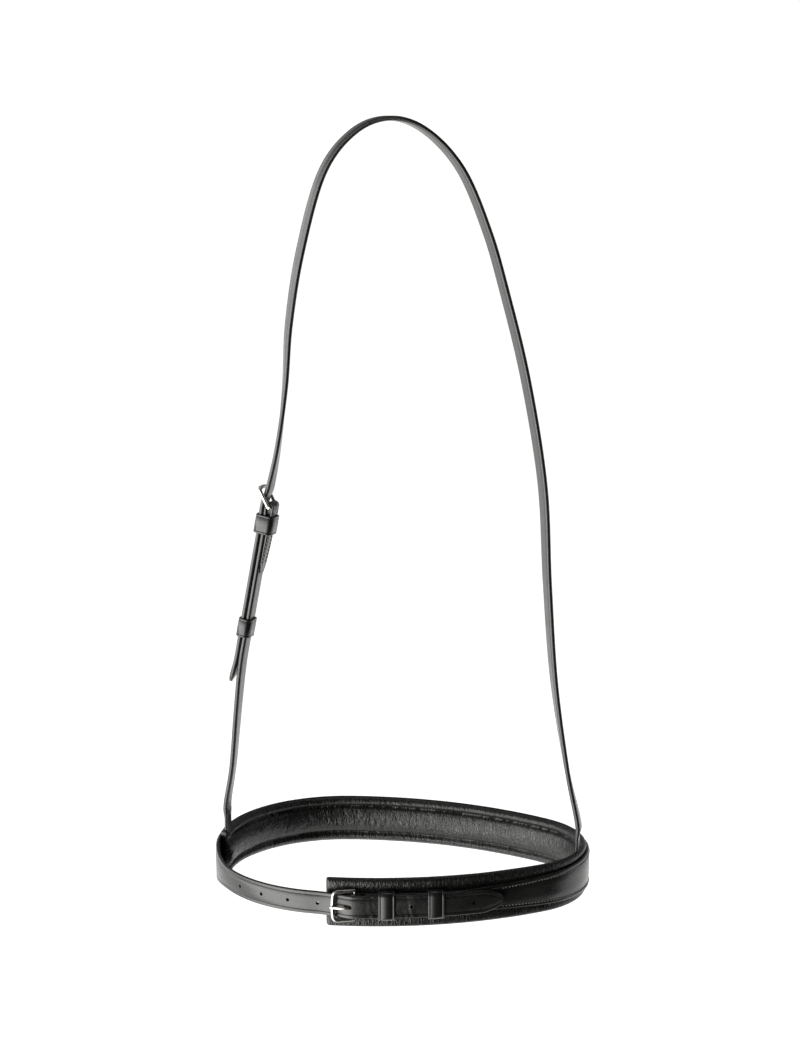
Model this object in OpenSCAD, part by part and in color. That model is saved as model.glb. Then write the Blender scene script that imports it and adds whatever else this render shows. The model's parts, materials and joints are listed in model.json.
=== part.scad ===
// Padded cavesson noseband with its slip head: an oval padded noseband that buckles under
// the chin, hung from a narrow strap that goes over the horse's poll and buckles at the cheek.
// The origin is the underside of the strap at its crown, where the poll carries it.
// +Z is up, +Y is the nose side, -Y the chin side, -X the cheek that has the buckle.

/* [Noseband] */
// Length of the noseband's oval, from cheek to cheek
oval_length = 257; // [220:1:310]
// Radius of the round end on the buckled cheek
left_radius = 87; // [78:1:96]
// Radius of the round end on the other cheek
right_radius = 57; // [48:1:66]
// Radius of the two long sides, nose and chin
side_radius = 246; // [220:1:320]
// Height of the padded part
pad_height = 34; // [28:0.5:40]
// Thickness of the padding at its middle
pad_depth = 8; // [6:0.5:10]
// Thickness of the soft lining leather
lining_thick = 1.2; // [0.8:0.1:1.6]
// Height of the outer leather over the nose
band_height = 26; // [20:0.5:28]
// Thickness of the outer leather
band_thick = 2.5; // [2:0.1:3]
// Width of the chin strap, where it passes through its buckle
chin_strap_width = 16; // [13:0.5:19]

/* [Headpiece] */
// Drop from the crown to the middle of the noseband
drop = 511; // [440:1:620]
// Width of the headpiece and cheek straps
head_width = 12.7; // [10:0.1:16]
// Thickness of the headpiece and cheek straps
head_thick = 3.3; // [2.6:0.1:3.8]
// Length of strap that hangs below the cheek buckle
billet_length = 127; // [118:1:140]

/* [Buckles and keepers] */
// Radius of the buckle wire
wire_radius = 1.3; // [1:0.1:1.5]
// Distance from a buckle's bar to the end of its frame
buckle_reach = 14.5; // [14:0.5:17]
// Thickness of the keeper leather
keeper_thick = 1.4; // [1:0.1:2]
// Length of the chin keepers along the strap
chin_keeper_length = 11; // [8:0.5:14]
// Length of the cheek keepers along the strap
cheek_keeper_length = 13; // [9:0.5:15]
// Spacing of the buckle holes
hole_pitch = 20.5; // [18:0.5:24]
// Diameter of the punched buckle holes
hole_diameter = 2.6; // [2.2:0.1:4]

/* [Hidden] */
$fn = 48;
gap = 0.15;          // between leather layers that lie on each other
slip_gap = 0.3;      // between pieces that move past each other
pin_gap = 0.08;      // between a buckle bar and the tongue that turns on it
step_in = 0.1;       // by which a part of one strap is slimmer than the part it runs into
smooth_step = 5;     // length of one flat in a swept strap

// ---- The plan of the noseband: four tangent arcs, nose, buckled cheek, chin, other cheek ----
plan_turn = -5.5;    // the oval's long axis leans back at the plain cheek
plan_centre = [8, 1.6];
left_x = -oval_length / 2 + left_radius;
right_x = oval_length / 2 - right_radius;
span = right_x - left_x;
left_arm = side_radius - left_radius;
right_arm = side_radius - right_radius;
deepest_x = left_x + (left_arm * left_arm - right_arm * right_arm + span * span) / (2 * span);
side_y = sqrt(left_arm * left_arm - (deepest_x - left_x) * (deepest_x - left_x));
left_angle = atan2(side_y, left_x - deepest_x);
right_angle = atan2(side_y, right_x - deepest_x);
nose_offset = 36.5;    // the nose's middle lies this far round from the deepest point
nose_angle = 90 - nose_offset / side_radius * 180 / PI;

// Each arc: centre x, centre y, radius, first angle, last angle, going round by the buckled cheek
arcs = [
    [deepest_x, -side_y, side_radius, nose_angle, left_angle],
    [left_x, 0, left_radius, left_angle, 360 - left_angle],
    [deepest_x, side_y, side_radius, 360 - left_angle, 360 - right_angle],
    [right_x, 0, right_radius, 360 - right_angle, 360 + right_angle],
    [deepest_x, -side_y, side_radius, 360 + right_angle, 360 + nose_angle]
];
function arc_length(arc) = arc[2] * (arc[4] - arc[3]) * PI / 180;
round_length = arc_length(arcs[0]) + arc_length(arcs[1]) + arc_length(arcs[2])
    + arc_length(arcs[3]) + arc_length(arcs[4]);

// A station is a distance round the oval from the nose's middle; it may run past a full turn
function wrap(s) = s - round_length * floor(s / round_length);
function walk(s, i) = let (n = arc_length(arcs[i])) s <= n || i == 4 ? [i, s] : walk(s - n, i + 1);
function turn_at(s) = let (w = walk(wrap(s), 0), arc = arcs[w[0]]) arc[3] + w[1] / arc[2] * 180 / PI;
function plan_at(s, out) = let (w = walk(wrap(s), 0), arc = arcs[w[0]], a = turn_at(s),
        x = arc[0] + (arc[2] + out) * cos(a), y = arc[1] + (arc[2] + out) * sin(a))
    [plan_centre[0] + x * cos(plan_turn) - y * sin(plan_turn),
     plan_centre[1] + x * sin(plan_turn) + y * cos(plan_turn)];
function point_at(s, out, z) = let (p = plan_at(s, out)) [p[0], p[1], z - drop];

function ease(x) = let (t = max(0, min(1, x))) t * t * (3 - 2 * t);
function between(x, x0, x1, a, b) = a + (b - a) * ease((x - x0) / (x1 - x0));

// ---- Stations of the noseband's pieces ----
exit_share = 0.2564661;                      // of the whole way round, from the nose's middle
exit_station = exit_share * round_length;    // where each cheek strap leaves
left_exit = exit_station;
right_exit = round_length - exit_station;
end_seam = 2.65;                             // from a sewn-in strap end to the end of the padding
pad_left_end = left_exit + head_width / 2 + end_seam;
chin_bar = round_length / 2 - 6.5;           // the chin buckle's bar
pad_chin_end = chin_bar - 20;                // the square end of the padding, under the buckle
holes_before = 4;                            // buckle holes on each side of the one in use
holes_after = 4;
chin_hole = chin_bar - 4.2;                  // the hole in use, pulled up against the bar
billet_tip = chin_hole + holes_after * hole_pitch + 20;
front_keeper = chin_bar + 21;
rear_keeper = chin_bar + 53;
chape_end = rear_keeper + 14;
band_start = chin_bar + 7 - round_length;    // the outer leather's end, behind the buckle

// ---- Layers over the chin, as distances out from the back of the padding ----
keeper_foot = 0.8;
chape_thick = 1.2;
chape_out = gap + keeper_foot + 0.1;
strap_out = chape_out + chape_thick + gap;
billet_out = strap_out + band_thick + gap;
chin_stack_top = billet_out + band_thick;
fold_inner = wire_radius + gap;
chin_fold = fold_inner + chape_thick / 2;
chin_bar_out = chape_out + chape_thick + fold_inner;
billet_over_bar = chin_bar_out + fold_inner + chape_thick + gap;

step_down = 30;                              // over which the outer leather comes down off the chape
rise_run = 32;                               // over which the billet climbs to pass over the bar
settle_run = 16;                             // over which it comes down again past the bar

// How far out the outer leather's back lies, round its whole length
function band_out(s) =
    s < 0 ? between(s, chape_end - round_length, chape_end - round_length + step_down, strap_out, gap)
    : s < chin_bar
        ? gap + (billet_over_bar - gap) * ease(pow(max(0, (s - chin_bar + rise_run) / rise_run), 1.4))
        : between(s, chin_bar + 1, chin_bar + 1 + settle_run, billet_over_bar, billet_out);
// Half the height of the outer leather: full over the nose, strap width at both ends, then a point
band_taper_left = 60;
band_slimmed = round_length - rear_keeper - chin_keeper_length / 2 - 2;
point_length = 13;
function band_half(s) =
    s < 0 ? between(-s, exit_station - 30, band_slimmed, band_height / 2, chin_strap_width / 2)
    : s < billet_tip - point_length
        ? between(s, exit_station + 10, exit_station + band_taper_left, band_height / 2,
                  chin_strap_width / 2)
        : chin_strap_width / 2 * (0.25 + 0.75 * sqrt(max(0, (billet_tip - s) / point_length)));

// ---- The hinge line through the two strap exits ----
tab_in = 3.4;                                // the strap ends lie this far inside the padding's back
tab_thick = 2;
knuckle_radius = head_width / 2 + 0.3;
hinge_z = pad_height / 2 + knuckle_radius + 1;
left_hinge = point_at(left_exit, -tab_in, hinge_z);
right_hinge = point_at(right_exit, -tab_in, hinge_z);
hinge_turn = atan2(right_hinge[1] - left_hinge[1], right_hinge[0] - left_hinge[0]);

// ---- The cheek buckle's place: its bar, its lean and its twist ----
standard_length = 257;                       // the oval and the drop that the courses are drawn for
standard_drop = 511;
width_scale = oval_length / standard_length;
drop_scale = drop / standard_drop;
cheek_bar = [-81 * width_scale, 5.3, -259 * drop_scale];
strap_bow = 1.82;                            // the strap leaves its buckle this much wider than
                                             // the straight line to the noseband
cheek_lean = atan2(cheek_bar[0] - left_hinge[0], cheek_bar[2] - left_hinge[2]) + strap_bow;
cheek_twist = 15;
straight_length = 112;
cheek_layer = 2;                             // leather skived to this where it folds round the bar
cheek_fold = wire_radius + gap + cheek_layer / 2;
cheek_face = cheek_fold + cheek_layer / 2;   // outer face of the fold
strap_face = cheek_face - 0.6;               // outer face of the cheek strap below the fold
lie = 0.2;                                   // from the cheek strap to the billet that lies on it
billet_middle = strap_face + lie + head_thick / 2;
billet_at_bar = cheek_face + lie + 0.05 + head_thick / 2;
tail_length = 47;

function cheek_point(out, up, across) =
    let (x = -out * cos(cheek_twist) + across * sin(cheek_twist),
         y = out * sin(cheek_twist) + across * cos(cheek_twist))
    cheek_bar + [x * cos(cheek_lean) + up * sin(cheek_lean), y,
                 -x * sin(cheek_lean) + up * cos(cheek_lean)];

// The headpiece's course from the cheek buckle over the crown to the plain cheek: each point
// is [x, y, z, twist of the strap about its own length], at the standard size
head_course = [
    [-76, 4.5, -216, 4],
    [-71, 3.6, -176, -8],
    [-68, 2.8, -134, -16],
    [-60, 1.8, -86, -20],
    [-45, 0.8, -34, -20],
    [-24, 0.2, -7, -20],
    [0, 0, 1.65, -20],
    [24, -0.2, -7, -20],
    [47, -1, -32, -20],
    [64, -2.2, -71, -20],
    [76, -3.4, -111, -20],
    [91, -5.2, -171, -20],
    [103, -7.4, -242, -18],
    [107, -9.4, -310, -15],
    [112, -14.5, -376, -10],
    [121, -20, -436, 0]
];
cheek_course = [
    [-106.5, 10, -402, 12],
    [-111, 14.5, -446, 8]
];
function to_size(p) = [p[0] * width_scale, p[1], p[2] > 0 ? head_thick / 2 : p[2] * drop_scale, p[3]];

// ---- Curves and swept straps ----
function curve(p0, p1, p2, p3, t) =
    0.5 * (2 * p1 + (p2 - p0) * t + (2 * p0 - 5 * p1 + 4 * p2 - p3) * t * t
           + (3 * p1 - p0 - 3 * p2 + p3) * t * t * t);
function smooth_course(points, steps) = let (n = len(points)) concat(
    [for (i = [0 : n - 2], k = [0 : steps - 1])
        curve(points[max(i - 1, 0)], points[i], points[i + 1], points[min(i + 2, n - 1)], k / steps)],
    [points[n - 1]]);
function place(p) = [p[0], p[1], p[2]];
function unit(v) = v / norm(v);
function direction(course, i) = let (n = len(course))
    unit(place(course[min(i + 1, n - 1)]) - place(course[max(i - 1, 0)]));
// The four corners of a strap's section at one point of its course
function strap_ring(course, i, width, thick) =
    let (along = direction(course, i),
         flat = [sin(course[i][3]), cos(course[i][3]), 0],
         across = unit(flat - along * (flat * along)),
         face = cross(along, across),
         c = place(course[i]))
    [c + across * width / 2 + face * thick / 2, c - across * width / 2 + face * thick / 2,
     c - across * width / 2 - face * thick / 2, c + across * width / 2 - face * thick / 2];

module skin(rings) {
    n = len(rings);
    m = len(rings[0]);
    polyhedron(
        points = [for (ring = rings) each ring],
        faces = concat(
            [[for (k = [0 : m - 1]) k]],
            [for (i = [0 : n - 2], k = [0 : m - 1]) each [
                [m * i + k, m * i + m + k, m * i + (k + 1) % m],
                [m * i + (k + 1) % m, m * i + m + k, m * i + m + (k + 1) % m]]],
            [[for (k = [1 : m]) m * n - k]]));
}

// A piece that follows the oval, its section given by four functions of the station
module round_strip(first, last, inner, outer, low, high) {
    count = ceil((last - first) / smooth_step);
    skin([for (i = [0 : count])
        let (s = first + (last - first) * i / count)
        [point_at(s, outer(s), low(s)), point_at(s, inner(s), low(s)),
         point_at(s, inner(s), high(s)), point_at(s, outer(s), high(s))]]);
}

// A section (out, z) carried round the oval between two stations, exactly on its arcs
module follow_oval(first, last) {
    translate([plan_centre[0], plan_centre[1], -drop])
        rotate([0, 0, plan_turn])
            for (lap = [-1 : 1], i = [0 : 4]) {
                start = lap * round_length + arc_start(i);
                from = max(first, start);
                to = min(last, start + arc_length(arcs[i]));
                if (to - from > 0.01)
                    translate([arcs[i][0], arcs[i][1], 0])
                        rotate([0, 0, arcs[i][3] + (from - start) / arcs[i][2] * 180 / PI])
                            rotate_extrude(angle = (to - from) / arcs[i][2] * 180 / PI, $fn = 180)
                                translate([arcs[i][2], 0])
                                    children();
            }
}
function arc_start(i) = i == 0 ? 0 : arc_start(i - 1) + arc_length(arcs[i - 1]);

// Puts a piece at a station: x inwards, y down, z back along the strap towards the buckled cheek
module at_station(s, out) {
    translate(point_at(s, out, 0))
        rotate([0, 0, turn_at(s) + plan_turn + 180])
            rotate([-90, 0, 0])
                children();
}

// Puts a piece at the cheek buckle: x inwards, y across the strap, z up along it
module at_cheek() {
    translate(cheek_bar)
        rotate([0, cheek_lean, 0])
            rotate([0, 0, -cheek_twist])
                children();
}

// A side view drawn in (out, up), made into a slab across the strap
module across_strap(width) {
    rotate([90, 0, 0])
        linear_extrude(height = width, center = true)
            mirror([1, 0])
                children();
}

// A line of constant thickness through points, with round joints
module bent_bar(points, thick) {
    for (i = [0 : len(points) - 2]) {
        run = points[i + 1] - points[i];
        translate(points[i])
            rotate(atan2(run[1], run[0]))
                translate([0, -thick / 2])
                    square([norm(run), thick]);
    }
    for (p = points)
        translate(p)
            circle(d = thick);
}

// Half a ring of leather folded over a buckle's bar
module fold_over(middle_radius, thick) {
    outer = middle_radius + thick / 2;
    difference() {
        circle(r = outer);
        circle(r = middle_radius - thick / 2);
        translate([-outer - 1, -2 * outer])
            square([2 * outer + 2, 2 * outer]);
    }
}

// ---- Buckles ----
side_room = 0.6;      // between a strap's edge and the buckle frame
corner = 3.5;         // radius of a buckle frame's corners
module buckle_frame(strap_width, tilt) {
    half = strap_width / 2 + side_room + wire_radius;
    rotate([0, -tilt, 0]) {
        translate([0, -half, 0])
            rotate([-90, 0, 0])
                cylinder(r = wire_radius, h = 2 * half);
        for (side = [-1, 1]) {
            translate([0, side * half, 0])
                sphere(r = wire_radius);
            translate([0, side * half, 0])
                cylinder(r = wire_radius, h = buckle_reach - corner);
            translate([0, side * (half - corner), buckle_reach - corner])
                rotate([90, 0, 90])
                    rotate([0, 0, side > 0 ? 0 : 90])
                        rotate_extrude(angle = 90)
                            translate([corner, 0])
                                circle(r = wire_radius);
        }
        translate([0, -(half - corner), buckle_reach])
            rotate([-90, 0, 0])
                cylinder(r = wire_radius, h = 2 * (half - corner));
    }
}

tongue_width = 2.2;
tongue_thick = 1.8;
eye_wall = 1;         // metal round the tongue's eye
slot_low = -0.9;      // the strap's slot for the tongue, from the bar
slot_high = 8.4;
module buckle_tongue(course) {
    eye = wire_radius + pin_gap;
    difference() {
        across_strap(tongue_width) {
            circle(r = eye + eye_wall);
            bent_bar(course, tongue_thick);
        }
        rotate([90, 0, 0])
            cylinder(r = eye, h = 4 * tongue_width, center = true);
    }
}

// An oval slot through a strap, long way up the strap
cut_through = 30;     // a cut this long passes a strap for certain
module tongue_slot(low, high, width) {
    for (z = [low + width / 2, high - width / 2])
        translate([0, 0, z])
            rotate([0, 90, 0])
                cylinder(d = width, h = cut_through, center = true);
    translate([-cut_through / 2, -width / 2, low + width / 2])
        cube([cut_through, width, high - low - width]);
}

// ---- Noseband: leather and padding ----
foam_gap = 0.35;      // between the padding and the lining round it
// The padding's section: flat back, a raised cushion between two rolled rims. The depth is
// measured inwards from the back, at a height from -1 (lower edge) to 1 (upper edge).
rim_radius = pad_height * 0.12;
groove_from_edge = 1.8 * rim_radius;
groove_depth = pad_depth * 0.62;
rim_depth = pad_depth * 0.74;
function pad_depth_at(height) =
    let (edge = pad_height / 2 * (1 - abs(height)),
         cushion_half = pad_height / 2 - groove_from_edge,
         level = abs(height) * pad_height / 2)
    edge < rim_radius ? rim_depth * sqrt(max(0, 1 - pow(1 - edge / rim_radius, 2)))
    : level > cushion_half ? between(edge, rim_radius, groove_from_edge, rim_depth, groove_depth)
    : groove_depth + (pad_depth - groove_depth) * sqrt(max(0, 1 - pow(level / cushion_half, 2)));
function pad_outline(inset) = let (half = pad_height / 2 - inset) concat(
    [[-inset, half], [-inset, -half]],
    [for (a = [-90 : 10 : 90]) let (z = half * sin(a))
        [-max(inset + 0.3, pad_depth_at(2 * z / pad_height) - inset), z]]);
pad_step = 9;
module pad_body(first, last, inset) {
    count = ceil((last - first) / pad_step);
    outline = pad_outline(inset);
    skin([for (i = [0 : count])
        [for (p = outline) point_at(first + (last - first) * i / count, p[0], p[1])]]);
}

// The hollows that the sewn-in strap ends lie in, open at the top
tab_depth = 22;
foam_clear = 1;       // the padding stands this much further off a strap end
foam_behind = 6;      // and is cut away this far behind it
module strap_pockets(extra, behind) {
    for (p = [left_hinge, right_hinge])
        translate([p[0], p[1], -drop + pad_height / 2])
            rotate([0, 0, hinge_turn]) {
                out = p[0] < 0 ? -1 : 1;
                thick = tab_thick + 2 * (gap + extra);
                translate([out * behind / 2, 0, 0])
                    cube([thick + behind, head_width + 2 * (gap + extra),
                          2 * (tab_depth + gap + extra)], center = true);
            }
}

module lining() {
    color("#2c2a27")
        difference() {
            pad_body(pad_chin_end, round_length + pad_left_end, 0);
            pad_body(pad_chin_end + lining_thick, round_length + pad_left_end - lining_thick,
                     lining_thick);
            strap_pockets(0, 0);
        }
}

module padding_foam() {
    color("#c9b98c")
        difference() {
            pad_body(pad_chin_end + lining_thick + foam_gap,
                     round_length + pad_left_end - lining_thick - foam_gap, lining_thick + foam_gap);
            strap_pockets(foam_clear, foam_behind);
        }
}

module outer_band() {
    color("#1f2120")
        difference() {
            round_strip(band_start, billet_tip, function(s) band_out(s),
                        function(s) band_out(s) + band_thick, function(s) -band_half(s),
                        function(s) band_half(s));
            for (k = [-holes_before : holes_after])
                if (k != 0)
                    at_station(chin_hole + k * hole_pitch, billet_out)
                        rotate([0, 90, 0])
                            cylinder(d = hole_diameter, h = 2 * billet_out + 1, center = true);
            at_station(chin_bar, billet_over_bar)
                tongue_slot(slot_low, slot_high, tongue_width + 2 * slip_gap);
        }
}

// Lines of thread along the top and bottom edges of the outer leather
thread = 0.6;
stitch_inset = 2.6;
clear_of_billet = 3;
module edge_stitching(side) {
    color("#3a3a38")
        round_strip(billet_tip + clear_of_billet - round_length, pad_left_end - 2,
                    function(s) band_out(s) + band_thick + gap,
                    function(s) band_out(s) + band_thick + gap + thread / 2,
                    function(s) side * (band_half(s) - stitch_inset) - thread / 2,
                    function(s) side * (band_half(s) - stitch_inset) + thread / 2);
}
module upper_stitching() edge_stitching(1);
module lower_stitching() edge_stitching(-1);

// ---- Noseband: chin buckle, chape and keepers ----
chin_tilt = 15;
chin_slot = 4;
slot_length = 8;
module chin_chape() {
    color("#1b1c1b")
        difference() {
            union() {
                follow_oval(chin_bar, chape_end)
                    translate([chape_out, -chin_strap_width / 2])
                        square([chape_thick, chin_strap_width]);
                at_station(chin_bar, chin_bar_out)
                    across_strap(chin_strap_width) {
                        fold_over(chin_fold, chape_thick);
                        bent_bar([[chin_fold, 0], [chin_fold - 0.3, -4]], chape_thick);
                        translate([-chin_fold - chape_thick / 2, -0.5])
                            square([chape_thick, 0.6]);
                    }
            }
            at_station(chin_bar, chin_bar_out)
                translate([0, 0, slot_length / 4])
                    cube([cut_through, chin_slot, slot_length], center = true);
        }
}

module chin_buckle_frame() {
    color("silver")
        at_station(chin_bar, chin_bar_out)
            buckle_frame(chin_strap_width, chin_tilt);
}

chin_rise = billet_over_bar - chin_bar_out + band_thick;
module chin_buckle_tongue() {
    color("silver")
        at_station(chin_bar, chin_bar_out)
            buckle_tongue([
                [wire_radius + 0.6, 1],
                [3.2, 3.2],
                [chin_rise + 1.2, 4.6],
                [chin_rise + 1.4, 7.5],
                [buckle_reach * sin(chin_tilt) + wire_radius + tongue_thick / 2 + 0.2,
                 buckle_reach * cos(chin_tilt)],
                [buckle_reach * sin(chin_tilt) + wire_radius + tongue_thick / 2, buckle_reach + 1.5]]);
}

module chin_keeper(s) {
    depth = chin_stack_top + keeper_thick;
    hole = chin_stack_top - keeper_foot;
    width = chin_strap_width + 2 * slip_gap;
    color("#1d201f")
        at_station(s, 0)
            difference() {
                translate([-gap - depth, -width / 2 - keeper_thick, -chin_keeper_length / 2])
                    cube([depth, width + 2 * keeper_thick, chin_keeper_length]);
                translate([-gap - keeper_foot - hole, -width / 2, -chin_keeper_length])
                    cube([hole, width, 2 * chin_keeper_length]);
            }
}
module chin_keeper_front() chin_keeper(front_keeper);
module chin_keeper_rear() chin_keeper(rear_keeper);

// ---- Strap ends sewn into the noseband ----
module strap_tab(hinge) {
    color("#242625")
        translate([hinge[0], hinge[1], -drop])
            rotate([0, 0, hinge_turn])
                difference() {
                    translate([-tab_thick / 2, -head_width / 2, pad_height / 2 - tab_depth])
                        cube([tab_thick, head_width, tab_depth + knuckle_radius * 0.55]);
                    translate([0, 0, hinge_z])
                        rotate([0, 90, 0])
                            cylinder(r = knuckle_radius + slip_gap, h = 4 * tab_thick, center = true);
                }
}
module cheek_strap_tab() strap_tab(left_hinge);
module head_strap_tab() strap_tab(right_hinge);

module knuckle(hinge) {
    translate(hinge)
        rotate([0, 0, hinge_turn])
            rotate([0, 90, 0])
                cylinder(r = knuckle_radius, h = head_thick - 2 * step_in, center = true);
}

function hinge_point(hinge, rise) = [hinge[0], hinge[1], hinge[2] + rise, -hinge_turn];

// ---- Cheek strap, its fold and its keepers ----
module cheek_strap() {
    foot = cheek_point(strap_face - head_thick / 2, -straight_length, 0);
    foot_up = cheek_point(strap_face - head_thick / 2, -straight_length + 8, 0);
    color("#2a2c2b") {
        skin([for (c = [concat(
                [hinge_point(left_hinge, 0), hinge_point(left_hinge, 10)],
                [for (i = [1 : 8 * (len(cheek_course) + 1)]) smooth_course(concat(
                    [hinge_point(left_hinge, 10)],
                    [to_size(cheek_course[1]), to_size(cheek_course[0])],
                    [[foot[0], foot[1], foot[2], cheek_twist]]), 8)[i]],
                [[foot_up[0], foot_up[1], foot_up[2], cheek_twist]])])
            for (i = [0 : len(c) - 1]) strap_ring(c, i, head_width - step_in, head_thick - step_in)]);
        knuckle(left_hinge);
        at_cheek()
            difference() {
                across_strap(head_width) {
                    polygon([
                        [strap_face, -straight_length],
                        [strap_face, -10],
                        [cheek_face, 0],
                        [cheek_face - cheek_layer, 0],
                        [strap_face - head_thick, -10],
                        [strap_face - head_thick, -straight_length]]);
                    fold_over(cheek_fold, cheek_layer);
                    polygon([
                        [-cheek_face + cheek_layer, 0.1],
                        [strap_face - head_thick + 0.1, -8],
                        [strap_face - head_thick + 0.1, -tail_length],
                        [strap_face - head_thick - 0.3, -tail_length],
                        [-cheek_face + 0.6, -tail_length * 0.55],
                        [-cheek_face, 0.1]]);
                }
                translate([0, 0, cheek_slot_length / 6])
                    cube([cut_through, cheek_slot, cheek_slot_length], center = true);
            }
    }
}
cheek_slot = 3.6;
cheek_slot_length = 12;

module ring_keeper(inner_face, outer_face, top) {
    width = head_width + 2 * slip_gap;
    translate([0, 0, top - cheek_keeper_length])
        difference() {
            translate([-outer_face - slip_gap - keeper_thick, -width / 2 - keeper_thick, 0])
                cube([outer_face - inner_face + 2 * slip_gap + 2 * keeper_thick,
                      width + 2 * keeper_thick, cheek_keeper_length]);
            translate([-outer_face - slip_gap, -width / 2, -1])
                cube([outer_face - inner_face + 2 * slip_gap, width, cheek_keeper_length + 2]);
        }
}

fixed_keeper_top = -6;       // from the cheek buckle's bar
running_keeper_top = -80;
module cheek_keeper_fixed() {
    color("#242625")
        at_cheek()
            ring_keeper(-cheek_face, billet_at_bar + head_thick / 2, fixed_keeper_top);
}

module cheek_keeper_running() {
    color("#242625")
        at_cheek()
            ring_keeper(strap_face - head_thick, billet_middle + head_thick / 2, running_keeper_top);
}

// ---- Cheek buckle ----
cheek_tilt = 37;
module cheek_buckle_frame() {
    color("silver")
        at_cheek()
            buckle_frame(head_width, cheek_tilt);
}

module cheek_buckle_tongue() {
    end = [buckle_reach * sin(cheek_tilt), buckle_reach * cos(cheek_tilt)];
    lift = wire_radius + tongue_thick / 2 + 0.1;
    over = end + lift * [cos(cheek_tilt), -sin(cheek_tilt)];
    color("silver")
        at_cheek()
            buckle_tongue([
                [wire_radius + 0.6, 1],
                [3.4, 2.8],
                [billet_at_bar + head_thick / 2 + 0.9, 4.6],
                over,
                over + 1.8 * [sin(cheek_tilt), cos(cheek_tilt)]]);
}

// ---- Headpiece: billet, crown and the plain cheek, one strap ----
step_out = 5;                // the billet's pointed end starts this far below its straight run
tip_bevel = 6;
tip_half = 1.5;
function billet_course() = [for (p = [
        [billet_middle, -straight_length - step_out - 1],
        [billet_middle, -60],
        [billet_middle, -16],
        [billet_at_bar - 0.2, -6],
        [billet_at_bar, 0],
        [billet_at_bar - 0.5, 6],
        [billet_middle - 1.2, 14]])
    let (q = cheek_point(p[0], p[1], 0)) [q[0], q[1], q[2], cheek_twist]];
function head_line() = concat(
    billet_course(),
    [for (p = head_course) to_size(p)],
    [hinge_point(right_hinge, 12)]);

head_hole = 4.6;             // the cheek buckle's hole in use, above its bar
head_holes = 4;
module head_strap() {
    tip = billet_length - straight_length - step_out;
    half = head_width / 2;
    course = concat(smooth_course(head_line(), 5), [hinge_point(right_hinge, 0)]);
    color("#2a2c2b")
        difference() {
            union() {
                skin([for (i = [0 : len(course) - 1]) strap_ring(course, i, head_width, head_thick)]);
                knuckle(right_hinge);
                at_cheek()
                    translate([-billet_middle, 0, -straight_length - step_out])
                        rotate([0, 90, 0])
                            linear_extrude(height = head_thick - step_in, center = true)
                                polygon([
                                    [-1, half - step_in],
                                    [tip - tip_bevel, half - 0.6],
                                    [tip, tip_half],
                                    [tip, -tip_half],
                                    [tip - tip_bevel, -half + 0.6],
                                    [-1, -half + step_in]]);
            }
            at_cheek() {
                tongue_slot(slot_low, slot_high, tongue_width + 2 * slip_gap);
                for (k = [1 : head_holes])
                    translate([-billet_middle, 0, head_hole - k * hole_pitch])
                        rotate([0, 90, 0])
                            cylinder(d = hole_diameter, h = head_thick + 0.3, center = true);
            }
        }
}

outer_band();
lining();
padding_foam();
upper_stitching();
lower_stitching();
chin_chape();
chin_buckle_frame();
chin_buckle_tongue();
chin_keeper_front();
chin_keeper_rear();
cheek_strap_tab();
head_strap_tab();
head_strap();
cheek_strap();
cheek_keeper_fixed();
cheek_keeper_running();
cheek_buckle_frame();
cheek_buckle_tongue();
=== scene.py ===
"""The finish of a padded cavesson noseband and its slip head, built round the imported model.

Lengths are metres. A station is a distance round the noseband's oval from the nose's middle,
rising towards the buckled cheek; "out" is measured outwards from the back of the padding.
"""

import bisect
import json
import math

import bmesh
import bpy
from mathutils import Matrix, Vector, noise


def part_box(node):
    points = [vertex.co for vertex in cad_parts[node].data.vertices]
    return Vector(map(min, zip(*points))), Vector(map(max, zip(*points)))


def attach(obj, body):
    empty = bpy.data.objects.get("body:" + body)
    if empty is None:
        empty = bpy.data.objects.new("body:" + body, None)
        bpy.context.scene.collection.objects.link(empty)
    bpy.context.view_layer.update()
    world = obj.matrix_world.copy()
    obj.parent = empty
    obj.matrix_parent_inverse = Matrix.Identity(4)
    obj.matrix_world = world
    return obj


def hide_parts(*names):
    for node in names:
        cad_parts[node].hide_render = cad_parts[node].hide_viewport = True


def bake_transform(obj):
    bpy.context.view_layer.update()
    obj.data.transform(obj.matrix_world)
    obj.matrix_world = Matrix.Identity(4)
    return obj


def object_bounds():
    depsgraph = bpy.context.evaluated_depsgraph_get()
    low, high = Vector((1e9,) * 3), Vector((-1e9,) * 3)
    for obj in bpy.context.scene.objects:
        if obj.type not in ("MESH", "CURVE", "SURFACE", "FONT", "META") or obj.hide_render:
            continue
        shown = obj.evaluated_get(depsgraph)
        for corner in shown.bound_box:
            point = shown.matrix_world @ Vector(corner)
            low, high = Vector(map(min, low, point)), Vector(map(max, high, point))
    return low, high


bl_info = {
    "name": "Cavesson Noseband",
    "version": (1, 0, 0),
    "blender": (4, 5, 0),
    "location": "3D View > Sidebar > Noseband",
    "description": "Leather, padding, thread and buckles of a padded noseband with its headpiece",
    "category": "Object",
}

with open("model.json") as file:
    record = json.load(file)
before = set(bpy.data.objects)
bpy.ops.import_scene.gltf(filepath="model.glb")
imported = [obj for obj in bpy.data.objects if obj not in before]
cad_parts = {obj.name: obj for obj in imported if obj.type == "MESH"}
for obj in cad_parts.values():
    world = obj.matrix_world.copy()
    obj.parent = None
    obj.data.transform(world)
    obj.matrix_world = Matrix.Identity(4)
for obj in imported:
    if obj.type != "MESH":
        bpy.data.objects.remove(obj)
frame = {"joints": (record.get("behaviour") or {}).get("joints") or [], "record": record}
CAD_BOX = [list(corner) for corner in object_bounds()]

MM = 0.001
UP = Vector((0, 0, 1))
MERGE_DISTANCE = 0.001 * MM
UV_NAME = "UVMap"

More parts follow.
